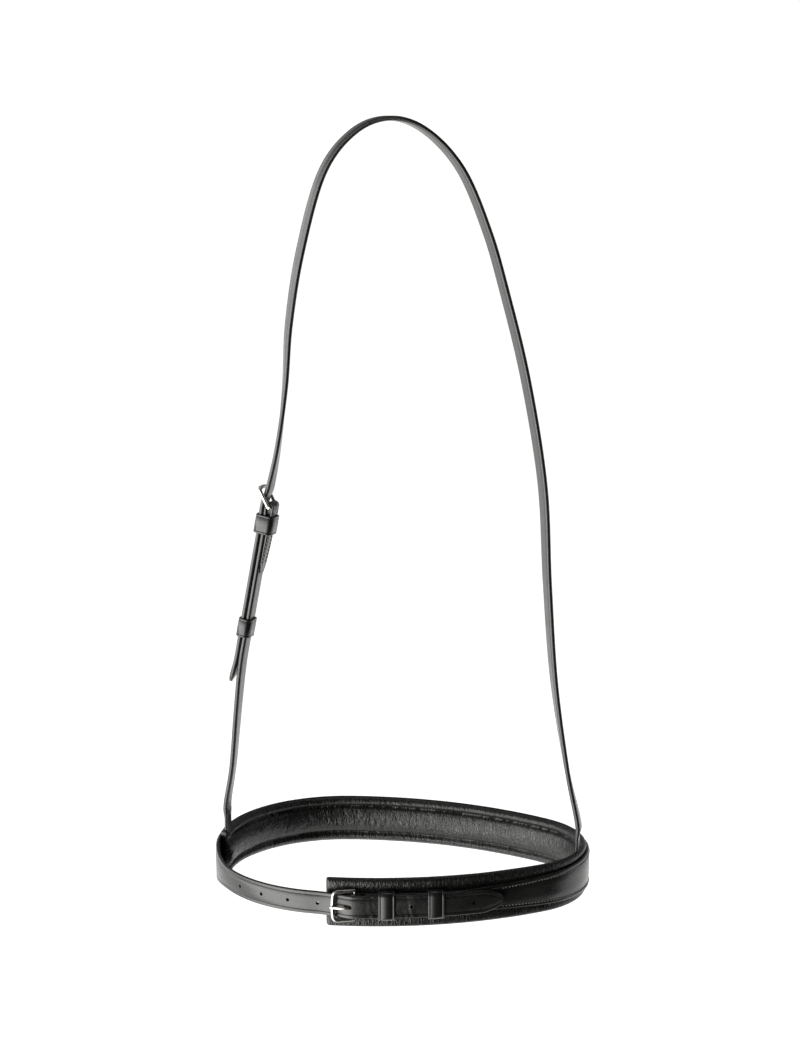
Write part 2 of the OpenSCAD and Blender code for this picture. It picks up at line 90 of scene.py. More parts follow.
# Layers of the noseband at the chin, outwards from the back of the padding
GAP = 0.15 * MM
SLIP = 0.3 * MM
KEEPER_FOOT = 0.8 * MM
CHAPE_THICK = 1.2 * MM
CHAPE_OUT = GAP + KEEPER_FOOT + 0.1 * MM
STRAP_OUT = CHAPE_OUT + CHAPE_THICK + GAP

# Sections
CORNER_POINTS = 5
CREASE_INSET = 2.3 * MM
CREASE_HALF = 0.35 * MM
STITCH_INSET = 2.6 * MM
STITCH_PITCH = 2.4 * MM
HOLE_PITCH = 20.5 * MM
SLOT_DEPTH = 14 * MM
HOLE_SIDES = 24
PUNCH_BACK = 0.3          # a round hole's radius at its back, as a share of its radius in front
WORN_RADIUS = 1.4 * MM    # the hole in use, pulled long by its tongue
PUNCH_PAST = 1.2 * MM     # how much longer a punch is than the leather is thick
STITCH_LONG = 1.7 * MM
THREAD_RADIUS = 0.45 * MM
WIRE_SIDES = 14


# ---- Sizes and colours that a user would change ----
def length(name, description, default):
    return bpy.props.FloatProperty(name=name, description=description, default=default * MM,
                                   unit="LENGTH", precision=4)


class NosebandSizes(bpy.types.PropertyGroup):
    """The noseband's own sizes"""
    oval_length: length("Oval length", "Length of the oval from cheek to cheek", 257)
    left_radius: length("Buckled end", "Radius of the round end on the buckled cheek", 87)
    right_radius: length("Plain end", "Radius of the round end on the other cheek", 57)
    side_radius: length("Sides", "Radius of the nose and chin sides", 246)
    plan_turn: bpy.props.FloatProperty(name="Turn", description="Turn of the oval's long axis",
                                       default=math.radians(-5.5), subtype="ANGLE")
    pad_height: length("Padding height", "Height of the padded part", 34)
    pad_depth: length("Padding depth", "Thickness of the padding at its middle", 8)
    band_height: length("Leather height", "Height of the outer leather over the nose", 26)
    band_thick: length("Leather thickness", "Thickness of the outer leather", 2.5)
    chin_width: length("Chin strap", "Width of the chin strap in its buckle", 16)


class HeadpieceSizes(bpy.types.PropertyGroup):
    """The headpiece's and cheek strap's sizes"""
    width: length("Width", "Width of the headpiece and cheek straps", 12.7)
    thick: length("Thickness", "Thickness of the headpiece and cheek straps", 3.3)
    billet_length: length("Billet", "Length of strap that hangs below the cheek buckle", 127)
    wire: length("Buckle wire", "Radius of the buckle wire", 1.3)
    buckle_reach: length("Buckle reach", "From a buckle's bar to the end of its frame", 14.5)
    keeper_thick: length("Keeper leather", "Thickness of the keeper leather", 1.4)
    hole: length("Hole", "Diameter of the punched buckle holes", 2.6)


def tone(name, description, default):
    return bpy.props.FloatVectorProperty(name=name, description=description, default=default,
                                         subtype="COLOR", size=3, min=0, max=1)


class NosebandFinish(bpy.types.PropertyGroup):
    """Colours and gloss of the materials"""
    bridle: tone("Bridle leather", "Dyed black of the straps", (0.007, 0.0075, 0.0068))
    worn: tone("Worn leather", "Where the dye is rubbed", (0.022, 0.023, 0.020))
    lining: tone("Lining", "Soft black lining leather", (0.0075, 0.0073, 0.0066))
    steel: tone("Buckles", "Nickel-plated buckles", (0.62, 0.60, 0.56))
    thread: tone("Thread", "Waxed thread", (0.07, 0.07, 0.065))
    gloss: bpy.props.FloatProperty(name="Leather gloss", description="Roughness of clean leather",
                                   default=0.24, min=0.05, max=1, subtype="FACTOR")


# ---- Small helps ----
def ease(x):
    t = max(0.0, min(1.0, x))
    return t * t * (3 - 2 * t)


def between(x, x0, x1, a, b):
    return a + (b - a) * ease((x - x0) / (x1 - x0))


def ridged(place):
    """Noise with sharp crests, from 0 to 1."""
    return 1 - min(1.0, 2.2 * abs(noise.noise(place)))


def joint_named(name):
    return next(j for j in frame["joints"] if j["name"] == name)


def joint_place(name):
    return Vector(joint_named(name)["pos_m"])


def mount_place(name):
    return Vector(next(m for m in frame["record"]["mounts"] if m["name"] == name)["pos_m"])


# ---- The noseband's plan ----
class Oval:
    """Four tangent arcs: nose side, buckled cheek, chin side, plain cheek."""

    NOSE_OFFSET = 36.5 * MM

    def __init__(self, sizes):
        self.centre = mount_place("nose_opening")
        self.turn = sizes.plan_turn
        left_x = sizes.left_radius - sizes.oval_length / 2
        right_x = sizes.oval_length / 2 - sizes.right_radius
        span = right_x - left_x
        left_arm = sizes.side_radius - sizes.left_radius
        right_arm = sizes.side_radius - sizes.right_radius
        deepest = left_x + (left_arm ** 2 - right_arm ** 2 + span ** 2) / (2 * span)
        side_y = math.sqrt(left_arm ** 2 - (deepest - left_x) ** 2)
        left_angle = math.atan2(side_y, left_x - deepest)
        right_angle = math.atan2(side_y, right_x - deepest)
        nose_angle = math.pi / 2 - self.NOSE_OFFSET / sizes.side_radius
        lap = 2 * math.pi
        self.arcs = [
            (deepest, -side_y, sizes.side_radius, nose_angle, left_angle),
            (left_x, 0, sizes.left_radius, left_angle, lap - left_angle),
            (deepest, side_y, sizes.side_radius, lap - left_angle, lap - right_angle),
            (right_x, 0, sizes.right_radius, lap - right_angle, lap + right_angle),
            (deepest, -side_y, sizes.side_radius, lap + right_angle, lap + nose_angle),
        ]
        self.length = sum(radius * (last - first) for _, _, radius, first, last in self.arcs)

    def walk(self, station):
        """The arc that a station is on, and its angle there."""
        rest = station % self.length
        for arc in self.arcs:
            run = arc[2] * (arc[4] - arc[3])
            if rest <= run:
                break
            rest -= run
        return arc, arc[3] + rest / arc[2]

    def at(self, station, out, height):
        (x, y, radius, _, _), angle = self.walk(station)
        flat = Vector((x + (radius + out) * math.cos(angle), y + (radius + out) * math.sin(angle), 0))
        return self.centre + Matrix.Rotation(self.turn, 3, "Z") @ flat + Vector((0, 0, height))

    def outward(self, station):
        angle = self.walk(station)[1] + self.turn
        return Vector((math.cos(angle), math.sin(angle), 0))

    def along(self, station):
        return UP.cross(self.outward(station))

    def station_of(self, place):
        """The station nearest to a place."""
        tries = 3000
        def away(k):
            return (self.at(k / tries * self.length, 0, 0) - place).xy.length
        return min(range(tries), key=away) / tries * self.length


class Noseband:
    """Stations and layers of the noseband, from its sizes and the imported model."""

    PAD_TO_BAR = 20 * MM
    PAD_PAST_EXIT = 9 * MM
    HOLE_TO_BAR = 4.2 * MM
    HOLES_EACH_WAY = 4
    POINT_PAST_HOLE = 20 * MM
    POINT_LENGTH = 13 * MM
    CHAPE_PAST_KEEPER = 14 * MM
    BAND_PAST_BAR = 7 * MM
    SLIM_BEFORE_KEEPER = 7.5 * MM
    RISE_RUN = 32 * MM
    SETTLE_RUN = 16 * MM
    STEP_DOWN = 30 * MM

    def __init__(self, context):
        self.sizes = context.scene.noseband_sizes
        self.head = context.scene.headpiece_sizes
        self.oval = Oval(self.sizes)
        self.wire = self.head.wire
        self.hinge = joint_place("noseband_tip")
        self.exit = self.oval.station_of(self.hinge)
        self.chin_bar = self.oval.station_of(joint_place("chin_buckle_lift"))
        self.pad_first = self.chin_bar - self.PAD_TO_BAR
        self.pad_last = self.oval.length + self.exit + self.PAD_PAST_EXIT
        self.chin_hole = self.chin_bar - self.HOLE_TO_BAR
        self.billet_tip = self.chin_hole + self.HOLES_EACH_WAY * HOLE_PITCH + self.POINT_PAST_HOLE
        self.front_keeper = self.oval.station_of(self.node_middle("chin_keeper_front"))
        self.rear_keeper = self.oval.station_of(self.node_middle("chin_keeper_rear"))
        self.chape_end = self.rear_keeper + self.CHAPE_PAST_KEEPER
        self.band_first = self.chin_bar + self.BAND_PAST_BAR - self.oval.length
        self.billet_out = STRAP_OUT + self.sizes.band_thick + GAP
        self.stack_top = self.billet_out + self.sizes.band_thick
        self.fold_inner = self.wire + GAP
        self.chin_fold = self.fold_inner + CHAPE_THICK / 2
        self.bar_out = CHAPE_OUT + CHAPE_THICK + self.fold_inner
        self.over_bar = self.bar_out + self.fold_inner + CHAPE_THICK + GAP

    @staticmethod
    def node_middle(name):
        low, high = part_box(name)
        return (low + high) / 2

    def band_out(self, s):
        """How far out the outer leather's back lies."""
        if s < 0:
            off_chape = self.chape_end - self.oval.length
            return between(s, off_chape, off_chape + self.STEP_DOWN, STRAP_OUT, GAP)
        if s < self.chin_bar:
            lift = ease(max(0.0, (s - self.chin_bar + self.RISE_RUN) / self.RISE_RUN) ** 1.4)
            return GAP + (self.over_bar - GAP) * lift
        past_bar = self.chin_bar + 1 * MM
        return between(s, past_bar, past_bar + self.SETTLE_RUN, self.over_bar, self.billet_out)

    def band_half(self, s):
        """Half the outer leather's height: full over the nose, then strap width, then a point."""
        full, slim, point = self.sizes.band_height / 2, self.sizes.chin_width / 2, self.POINT_LENGTH
        if s < 0:
            slimmed = self.oval.length - self.rear_keeper - self.SLIM_BEFORE_KEEPER
            return between(-s, self.exit - 30 * MM, slimmed, full, slim)
        if s < self.billet_tip - point:
            return between(s, self.exit + 10 * MM, self.exit + 60 * MM, full, slim)
        return slim * (0.25 + 0.75 * math.sqrt(max(0.0, (self.billet_tip - s) / point)))

    def pad_depth(self, level):
        """The padding's depth at a height from -1 to 1: a cushion between two rolled rims."""
        half, deep = self.sizes.pad_height / 2, self.sizes.pad_depth
        rim = 0.24 * half
        edge, cushion = half * (1 - abs(level)), half - 1.8 * rim
        rim_depth, groove = 0.74 * deep, 0.50 * deep
        if edge < rim:
            return rim_depth * math.sqrt(max(0.0, 1 - (1 - edge / rim) ** 2))
        if abs(level) * half > cushion:
            return between(edge, rim, 1.8 * rim, rim_depth, groove)
        return groove + (deep - groove) * (1 - (abs(level) * half / cushion) ** 2) ** 0.5


# ---- Straps: a smooth course, read by distance ----
class Course:
    """A strap's middle line through knots of (place, twist in degrees)."""

    FINE = 14

    def __init__(self, knots):
        places = [Vector(place) for place, _ in knots]
        twists = [twist for _, twist in knots]
        last = len(knots) - 1
        self.places, self.twists = [], []
        for i in range(last):
            near = [max(i - 1, 0), i, i + 1, min(i + 2, last)]
            for k in range(self.FINE):
                t = k / self.FINE
                self.places.append(self.curve([places[n] for n in near], t))
                self.twists.append(self.curve([twists[n] for n in near], t))
        self.places.append(places[last])
        self.twists.append(twists[last])
        self.reach = [0.0]
        for a, b in zip(self.places, self.places[1:]):
            self.reach.append(self.reach[-1] + (b - a).length)
        self.length = self.reach[-1]

    @staticmethod
    def curve(p, t):
        return 0.5 * (2 * p[1] + (p[2] - p[0]) * t + (2 * p[0] - 5 * p[1] + 4 * p[2] - p[3]) * t * t
                      + (3 * p[1] - p[0] - 3 * p[2] + p[3]) * t * t * t)

    def point(self, distance):
        i = min(max(bisect.bisect_right(self.reach, distance) - 1, 0), len(self.places) - 2)
        t = (distance - self.reach[i]) / (self.reach[i + 1] - self.reach[i])
        return (self.places[i].lerp(self.places[i + 1], t),
                self.twists[i] + (self.twists[i + 1] - self.twists[i]) * t)

    def at(self, distance):
        """Middle, across and face directions at a distance along the strap."""
        nearby = 0.6 * MM
        middle, twist = self.point(distance)
        along = (self.point(min(distance + nearby, self.length))[0]
                 - self.point(max(distance - nearby, 0))[0]).normalized()
        flat = Vector((math.sin(math.radians(twist)), math.cos(math.radians(twist)), 0))
        across = (flat - along * flat.dot(along)).normalized()
        return middle, across, along.cross(across)


def strap_outline(width, thick, crease=0.28 * MM, inset=CREASE_INSET, bulge=0.0):
    """Points (across, out) round a strap's section: burnished edges, creased on its grain face."""
    half = width / 2
    radius = min(0.44 * thick, 0.9 * half)
    line = max(half - inset, 0.3 * half)
    grip = min(CREASE_HALF, line / 3)
    grain = [(line + grip, 0), (line, crease), (line - grip, 0), (line / 3, -bulge),
             (-line / 3, -bulge), (grip - line, 0), (-line, crease), (-line - grip, 0)]
    points = []
    for quarter, (side, level) in enumerate([(1, 1), (-1, 1), (-1, -1), (1, -1)]):
        for k in range(CORNER_POINTS):
            angle = (quarter + k / (CORNER_POINTS - 1)) * math.pi / 2
            points.append((side * (half - radius) + radius * math.cos(angle),
                           level * (thick / 2 - radius) + radius * math.sin(angle)))
        if quarter == 0:
            points += [(across, thick / 2 - deep) for across, deep in grain]
        if quarter == 2:
            points += [(part * (half - radius), -thick / 2) for part in (-0.5, 0, 0.5)]
    return points


def round_outline(radius, flat=1.0):
    turns = [2 * math.pi * k / WIRE_SIDES for k in range(WIRE_SIDES)]
    return [(radius * math.cos(turn), flat * radius * math.sin(turn)) for turn in turns]


# ---- Meshes ----
def add_swept(mesh, rings, closed=False):
    """A grid rolled into a tube that passes through the rings. Its UVs are metres along and round."""
    steps, count = len(rings) - 1, len(rings[0])
    uv = mesh.loops.layers.uv.get(UV_NAME) or mesh.loops.layers.uv.new(UV_NAME)
    made = bmesh.ops.create_grid(mesh, x_segments=steps, y_segments=count, size=0.5)["verts"]
    run = [0.0]
    for a, b in zip(rings, rings[1:]):
        run.append(run[-1] + (a[0] - b[0]).length)
    girth = [0.0]
    middle = rings[steps // 2]
    for k in range(count):
        girth.append(girth[-1] + (middle[k] - middle[(k + 1) % count]).length)
    for face in {face for vert in made for face in vert.link_faces}:
        for loop in face.loops:
            step = round((loop.vert.co.x + 0.5) * steps)
            loop[uv].uv = (run[step], girth[round((loop.vert.co.y + 0.5) * count)])
    for vert in made:
        step = round((vert.co.x + 0.5) * steps)
        vert.co = rings[step][round((vert.co.y + 0.5) * count) % count]
    bmesh.ops.remove_doubles(mesh, verts=made, dist=MERGE_DISTANCE)
    if not closed:
        open_edges = [edge for edge in mesh.edges if edge.is_boundary]
        bmesh.ops.holes_fill(mesh, edges=open_edges, sides=0)


def as_piece(name, mesh, material, sharp=50):
    """Turns a bmesh into a finished piece, with its faces outwards and its hard edges kept."""
    bmesh.ops.recalc_face_normals(mesh, faces=mesh.faces)
    data = bpy.data.meshes.new(name)
    mesh.to_mesh(data)
    mesh.free()
    data.polygons.foreach_set("use_smooth", [True] * len(data.polygons))
    data.set_sharp_from_angle(angle=math.radians(sharp))
    data.materials.append(material)
    piece = bpy.data.objects.new(name, data)
    bpy.context.scene.collection.objects.link(piece)
    return piece


def swept_piece(name, rings, material, closed=False, sharp=50):
    mesh = bmesh.new()
    add_swept(mesh, rings, closed)
    return as_piece(name, mesh, material, sharp)


def punch(piece, tools):
    """Cuts the tools' shapes out of a piece; each tool is (matrix, radius, half slot, depth).

    Leather closes behind a round punch, so a round hole is narrower at its back."""
    mesh = bmesh.new()
    for place, radius, half_slot, depth in tools:
        back = radius if half_slot else PUNCH_BACK * radius
        made = bmesh.ops.create_cone(mesh, cap_ends=True, segments=HOLE_SIDES, radius1=back,
                                     radius2=radius, depth=depth)["verts"]
        for vert in made:
            vert.co.y += half_slot if vert.co.y > 0 else -half_slot
            vert.co = place @ vert.co
    cutter_mesh = bpy.data.meshes.new("punch")
    mesh.to_mesh(cutter_mesh)
    mesh.free()
    cutter = bpy.data.objects.new("punch", cutter_mesh)
    bpy.context.scene.collection.objects.link(cutter)
    cut = piece.modifiers.new("holes", "BOOLEAN")
    cut.operation = "DIFFERENCE"
    cut.solver = "MANIFOLD"
    cut.object = cutter
    finish_modifiers(piece)
    bpy.data.objects.remove(cutter)


def strap_hole(place, in_use, radius, stretch, thick):
    """The tool for one buckle hole; the one in use is stretched along its strap."""
    if in_use:
        return place, WORN_RADIUS, stretch, thick + PUNCH_PAST
    return place, radius, 0, thick + PUNCH_PAST


def finish_modifiers(piece):
    bpy.context.view_layer.update()
    evaluated = piece.evaluated_get(bpy.context.evaluated_depsgraph_get())
    plain = bpy.data.meshes.new_from_object(evaluated)
    for slot in range(len(plain.materials) - 1, 0, -1):
        plain.materials.pop(index=slot)
    piece.modifiers.clear()
    piece.data = plain


def axes(place, x, y, z):
    """A matrix that puts local x, y and z along these directions."""
    turn = Matrix((x, y, z)).transposed().to_4x4()
    return Matrix.Translation(place) @ turn


def strap_rings(course, width_at, thick_at, spacing):
    """Rings of a strap along its course; width and thickness are functions of the distance."""
    steps = round(course.length / spacing)
    rings = []
    for i in range(steps + 1):
        distance = course.length * i / steps
        middle, across, face = course.at(distance)
        outline = strap_outline(width_at(distance), thick_at(distance))
        rings.append([middle + across * a + face * o for a, o in outline])
    return rings


def wire_rings(path, radii, side, flat=1.0):
    """Rings of a round wire along a path that lies square to side."""
    rings = []
    last = len(path) - 1
    for i, middle in enumerate(path):
        run = (path[min(i + 1, last)] - path[max(i - 1, 0)]).normalized()
        normal = run.cross(side)
        rings.append([middle + side * a + normal * b for a, b in round_outline(radii[i], flat=flat)])
    return rings


def add_stitch(mesh, middle, along, out):
    """One stitch: a low-poly bead of thread that lies along the seam."""
    across = along.cross(out)
    shape = axes(middle, across * THREAD_RADIUS, along * (STITCH_LONG / 2), out * THREAD_RADIUS)
    bmesh.ops.create_uvsphere(mesh, u_segments=6, v_segments=5, radius=1.0, matrix=shape)


# ---- Materials ----
class Paint:
    """A short way to write a material's nodes."""

    def __init__(self, name):
        self.material = bpy.data.materials.new(name)
        self.material.use_nodes = True
        self.tree = self.material.node_tree
        self.shader = self.tree.nodes["Principled BSDF"]

    def node(self, kind, sockets=(), **settings):
        node = self.tree.nodes.new(kind)
        for key, value in settings.items():
            setattr(node, key, value)
        for key, value in dict(sockets).items():
            if isinstance(value, bpy.types.NodeSocket):
                self.tree.links.new(value, node.inputs[key])
            else:
                node.inputs[key].default_value = value
        return node

    def surface_place(self, stretch=(1, 1, 1)):
        uv = self.node("ShaderNodeUVMap", uv_map=UV_NAME).outputs["UV"]
        return self.node("ShaderNodeMapping", {"Vector": uv, "Scale": stretch}).outputs["Vector"]

    def solid_place(self, stretch=(1, 1, 1)):
        place = self.node("ShaderNodeTexCoord").outputs["Object"]
        return self.node("ShaderNodeMapping", {"Vector": place, "Scale": stretch}).outputs["Vector"]

    def cloud(self, place, per_metre, detail=3, rough=0.55):
        return self.node("ShaderNodeTexNoise", {"Vector": place, "Scale": per_metre, "Detail": detail,
                                                "Roughness": rough}).outputs["Fac"]

    def cells(self, place, per_metre):
        return self.node("ShaderNodeTexVoronoi", {"Vector": place, "Scale": per_metre},
                         feature="DISTANCE_TO_EDGE").outputs["Distance"]

    def span(self, value, low, high, to_low, to_high):
        return self.node("ShaderNodeMapRange", {"Value": value, "From Min": low, "From Max": high,
                                                "To Min": to_low, "To Max": to_high}).outputs["Result"]

    def mixed(self, factor, first, second):
        node = self.node("ShaderNodeMix", data_type="RGBA")
        for index, value in ((0, factor), (6, first), (7, second)):
            if isinstance(value, bpy.types.NodeSocket):
                self.tree.links.new(value, node.inputs[index])
            else:
                node.inputs[index].default_value = value if index == 0 else (*value, 1)
        return node.outputs[2]

    def math(self, operation, a, b):
        return self.node("ShaderNodeMath", {0: a, 1: b}, operation=operation).outputs[0]

    def bump(self, height, strength, distance, under=None):
        sockets = {"Height": height, "Strength": strength, "Distance": distance}
        if under:
            sockets["Normal"] = under
        return self.node("ShaderNodeBump", sockets).outputs["Normal"]

    def set(self, **values):
        for key, value in values.items():
            name = key.replace("_", " ")
            if isinstance(value, bpy.types.NodeSocket):
                self.tree.links.new(value, self.shader.inputs[name])
            else:
                self.shader.inputs[name].default_value = value


def made_once(name, make):
    return bpy.data.materials.get(name) or make(name)


def bridle_leather(context, name="bridle_leather", wear=0.5, gloss_shift=0.0):
    """Waxed strap leather: fine pores, long faint rubs, and dye that is thinner in places."""
    finish = context.scene.noseband_finish

    def make(name):
        paint = Paint(name)
        place = paint.surface_place()
        cloudy = paint.cloud(place, 45, detail=4)
        rubs = paint.cloud(paint.surface_place((1, 9, 1)), 160, detail=3)
        pores = paint.cells(place, 1700)
        crinkle = paint.cloud(place, 420, detail=5, rough=0.6)
        rubbed = paint.math("MULTIPLY", paint.span(cloudy, 0.42, 0.72, 0, 1),
                            paint.span(rubs, 0.4, 0.7, 0.25, 1))
        worn = paint.math("MULTIPLY", rubbed, wear)
        colour = paint.mixed(worn, tuple(finish.bridle), tuple(finish.worn))
        gloss = finish.gloss + gloss_shift
        rough = paint.math("ADD", paint.span(cloudy, 0.3, 0.7, gloss - 0.05, gloss + 0.08),
                           paint.span(rubs, 0.35, 0.75, 0, 0.08))
        fine = paint.bump(paint.span(pores, 0, 0.12, 0, 1), 0.35, 0.05 * MM)
        broad = paint.bump(crinkle, 0.25, 0.25 * MM, fine)
        paint.set(Base_Color=colour, Roughness=rough, Normal=broad, Coat_Weight=0.12,
                  Coat_Roughness=0.22, Specular_IOR_Level=0.55)
        return paint.material
    return made_once(name, make)


def keeper_leather(context):
    return bridle_leather(context, "keeper_hide", wear=0.35, gloss_shift=-0.04)


def lining_leather(context):
    """Soft lining leather: pebbled cells with fine pleats across the padding; the cracks between the
    cells are darkened as painted shade.
    """
    finish = context.scene.noseband_finish

    def make(name):
        paint = Paint(name)
        place = paint.surface_place()
        cloudy = paint.cloud(place, 60, detail=3)
        pebbles = paint.cells(paint.surface_place((1, 0.45, 1)), 640)
        pleats = paint.cloud(paint.surface_place((1, 0.16, 1)), 620, detail=3)
        raised = paint.span(pebbles, 0, 0.22, 0, 1)
        # Painted shade: the cracks between the pebbles get a near-black colour, darker than the
        # lining's own, as if shade lay in them
        colour = paint.mixed(raised, (0.002, 0.002, 0.0018), tuple(finish.lining))
        rough = paint.math("ADD", paint.span(cloudy, 0.3, 0.7, 0.2, 0.3),
                           paint.span(raised, 0, 1, 0.2, 0))
        grain = paint.bump(raised, 0.7, 0.2 * MM)
        folded = paint.bump(pleats, 0.45, 0.3 * MM, grain)
        paint.set(Base_Color=colour, Roughness=rough, Normal=folded, Specular_IOR_Level=0.5)
        return paint.material
    return made_once("soft_lining", make)


def waxed_thread(context):
    finish = context.scene.noseband_finish

    def make(name):
        paint = Paint(name)
        twist = paint.cloud(paint.solid_place(), 2600, detail=1)
        colour = paint.mixed(twist, tuple(finish.thread), tuple(2.4 * c for c in finish.thread))
        paint.set(Base_Color=colour, Roughness=paint.span(twist, 0.3, 0.7, 0.25, 0.5),
                  Normal=paint.bump(twist, 0.4, 0.1 * MM))
        return paint.material
    return made_once("waxed_thread", make)


def nickel(context):
    """Nickel plate on steel: bright, with fine rubs and a little tarnish in noise patches."""
    finish = context.scene.noseband_finish

    def make(name):
        paint = Paint(name)
        place = paint.solid_place()
        tarnish = paint.cloud(place, 260, detail=4)
        rubs = paint.cloud(paint.solid_place((1, 1, 6)), 900, detail=2)
        colour = paint.mixed(paint.span(tarnish, 0.52, 0.8, 0, 0.7), tuple(finish.steel),
                             (0.24, 0.21, 0.17))
        rough = paint.math("ADD", paint.span(tarnish, 0.4, 0.7, 0.24, 0.36),
                           paint.span(rubs, 0.4, 0.7, 0, 0.06))
        paint.set(Base_Color=colour, Roughness=rough, Metallic=1.0,
                  Normal=paint.bump(rubs, 0.06, 0.03 * MM))
        return paint.material
    return made_once("nickel_plate", make)


# ---- Operators ----
class NOSEBAND_OT_padding(bpy.types.Operator):
    """Make the padded lining: a cushion between two rolled rims, with close upright pleats"""
    bl_idname = "noseband.padding"
    bl_label = "Padded lining"

    SPACING = 0.8 * MM
    INNER_POINTS = 52
    OUTER_POINTS = 26

    def section(self, noseband, s):
        """Points (out, height) of the padding at a station, before its ends close."""
        half = noseband.sizes.pad_height / 2
        under = s - noseband.oval.length
        cover = noseband.band_half(under) if under > noseband.band_first else \
            noseband.sizes.chin_width / 2
        margin = max(half - cover, 1 * MM)
        corner = 2.2 * MM
        points = []
        for k in range(self.OUTER_POINTS):
            height = half * math.sin(math.radians(-90 + 180 * k / self.OUTER_POINTS))
            inside = half - abs(height)
            puff = 0.16 * margin * math.sin(math.pi * min(1.0, inside / margin)) ** 0.7 \
                if inside < margin else 0.0
            dip = max(0.0, 1 - inside / corner)
            points.append((puff - corner * (1 - math.sqrt(1 - dip * dip)), height))
        for k in range(self.INNER_POINTS):
            level = math.sin(math.radians(90 - 180 * k / self.INNER_POINTS))
            points.append((-max(noseband.pad_depth(level), corner * (1 - math.sqrt(1 - max(
                0.0, 1 - half * (1 - abs(level)) / corner) ** 2))), half * level))
        return points

    def pleat(self, noseband, s, height, from_end):
        """How far the lining stands proud: close upright pleats, gathered tighter at the end."""
        level = abs(height) / (noseband.sizes.pad_height / 2)
        fine = ridged(Vector((s / (2.6 * MM), height / (9 * MM), 0))) - 0.5
        small = ridged(Vector((s / (1.5 * MM), height / (5 * MM), 7))) - 0.5
        slow = noise.noise(Vector((s / (22 * MM), height / (14 * MM), 3)))
        gather = 1 + 2.2 * (1 - ease(from_end / (14 * MM)))
        calm = between(level, 0.85, 1.0, 1, 0.3)
        return calm * gather * (0.34 * MM * fine + 0.16 * MM * small) + 0.35 * MM * slow

    def execute(self, context):
        noseband = Noseband(context)
        first, last = noseband.pad_first, noseband.pad_last
        steps = round((last - first) / self.SPACING)
        rings = []
        for i in range(steps + 1):
            s = first + (last - first) * i / steps
            from_end = min(s - first, last - s)
            inset = max(0.0, 1 - from_end / (3 * MM))
            close = math.sqrt(max(0.0, 1 - inset * inset))
            squeeze = 0.9 + 0.1 * close
            flat = 0.12 + 0.88 * close
            ring = []
            for out, height in self.section(noseband, s):
                middle = -noseband.sizes.pad_depth / 2
                proud = self.pleat(noseband, s, height, last - s)
                side = -proud if out < middle / 2 else 0.25 * proud
                ring.append(noseband.oval.at(s, middle + (out - middle) * flat + side * close,
                                             height * squeeze))
            rings.append(ring)
        piece = swept_piece("padded_lining", rings, lining_leather(context),
                            sharp=80)
        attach(piece, "noseband")
        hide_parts("lining", "padding_foam")
        return {"FINISHED"}


class NOSEBAND_OT_outer_leather(bpy.types.Operator):
    """Make the outer leather, from its stitched end round the nose to the pointed billet"""
    bl_idname = "noseband.outer_leather"
    bl_label = "Outer leather"

    SPACING = 1.1 * MM

    def crumple(self, noseband, s, height):
        """Creases where the billet has been bent through the buckle and the keepers."""
        bar = noseband.chin_bar
        worn = (ease(1 - abs(s - bar - 12 * MM) / (7 * MM))
                + ease(1 - abs(s - bar - 37 * MM) / (12 * MM))
                + 0.35 * ease(1 - abs(s - bar - 66 * MM) / (9 * MM)))
        if s < 0 or worn <= 0:
            return 0.0
        slant = s + 0.45 * height
        fold = ridged(Vector((slant / (3.4 * MM), height / (9 * MM), 11))) ** 2
        return worn * (0.55 * MM * fold - 0.2 * MM)

    def execute(self, context):
        noseband = Noseband(context)
        thick = noseband.sizes.band_thick
        first, last = noseband.band_first, noseband.billet_tip
        steps = round((last - first) / self.SPACING)
        rings = []
        for i in range(steps + 1):
            s = first + (last - first) * i / steps
            end = ease(min(1.0, (s - first) / (4 * MM)))
            base = noseband.band_out(s) + thick / 2
            outline = strap_outline(2 * noseband.band_half(s), thick * (0.55 + 0.45 * end),
                                    crease=0.32 * MM, inset=STITCH_INSET, bulge=0.15 * MM)
            rings.append([noseband.oval.at(s, base + out + (self.crumple(noseband, s, height)
                                                            if out > 0 else 0), height)
                          for height, out in outline])
        piece = swept_piece("outer_leather", rings, bridle_leather(context))
        punch(piece, self.holes(noseband, context))
        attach(piece, "noseband")
        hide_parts("outer_band")
        return {"FINISHED"}

    def holes(self, noseband, context):
        radius = context.scene.headpiece_sizes.hole / 2
        tools = []
        for k in range(-noseband.HOLES_EACH_WAY, noseband.HOLES_EACH_WAY + 1):
            s = noseband.chin_hole + k * HOLE_PITCH
            out = noseband.oval.outward(s)
            middle = noseband.band_out(s) + noseband.sizes.band_thick / 2
            place = axes(noseband.oval.at(s, middle, 0), UP, -noseband.oval.along(s), out)
            tools.append(strap_hole(place, k == 0, radius, 1.4 * MM, noseband.sizes.band_thick))
        return tools


class NOSEBAND_OT_stitching(bpy.types.Operator):
    """Sew the outer leather to the lining along both edges"""
    bl_idname = "noseband.stitching"
    bl_label = "Stitching"

    def execute(self, context):
        noseband = Noseband(context)
        thick = noseband.sizes.band_thick
        first, last = noseband.band_first + 10 * MM, noseband.exit + 7 * MM
        count = round((last - first) / STITCH_PITCH)
        for name, side in (("upper_thread", 1), ("lower_thread", -1)):
            mesh = bmesh.new()
            for k in range(count):
                s = first + (last - first) * (k + 0.5) / count
                out, along = noseband.oval.outward(s), noseband.oval.along(s)
                height = side * (noseband.band_half(s) - STITCH_INSET)
                billet_over = s < noseband.billet_tip - noseband.oval.length
                if billet_over and abs(height) < noseband.sizes.chin_width / 2 + SLIP:
                    continue
                sunk = noseband.band_out(s) + thick + 0.02 * MM
                lean = (along + 0.12 * side * UP).normalized()
                add_stitch(mesh, noseband.oval.at(s, sunk, height), lean, out)
            piece = as_piece(name, mesh, waxed_thread(context), sharp=180)
            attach(piece, "noseband")
            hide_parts("upper_stitching" if side > 0 else "lower_stitching")
        return {"FINISHED"}


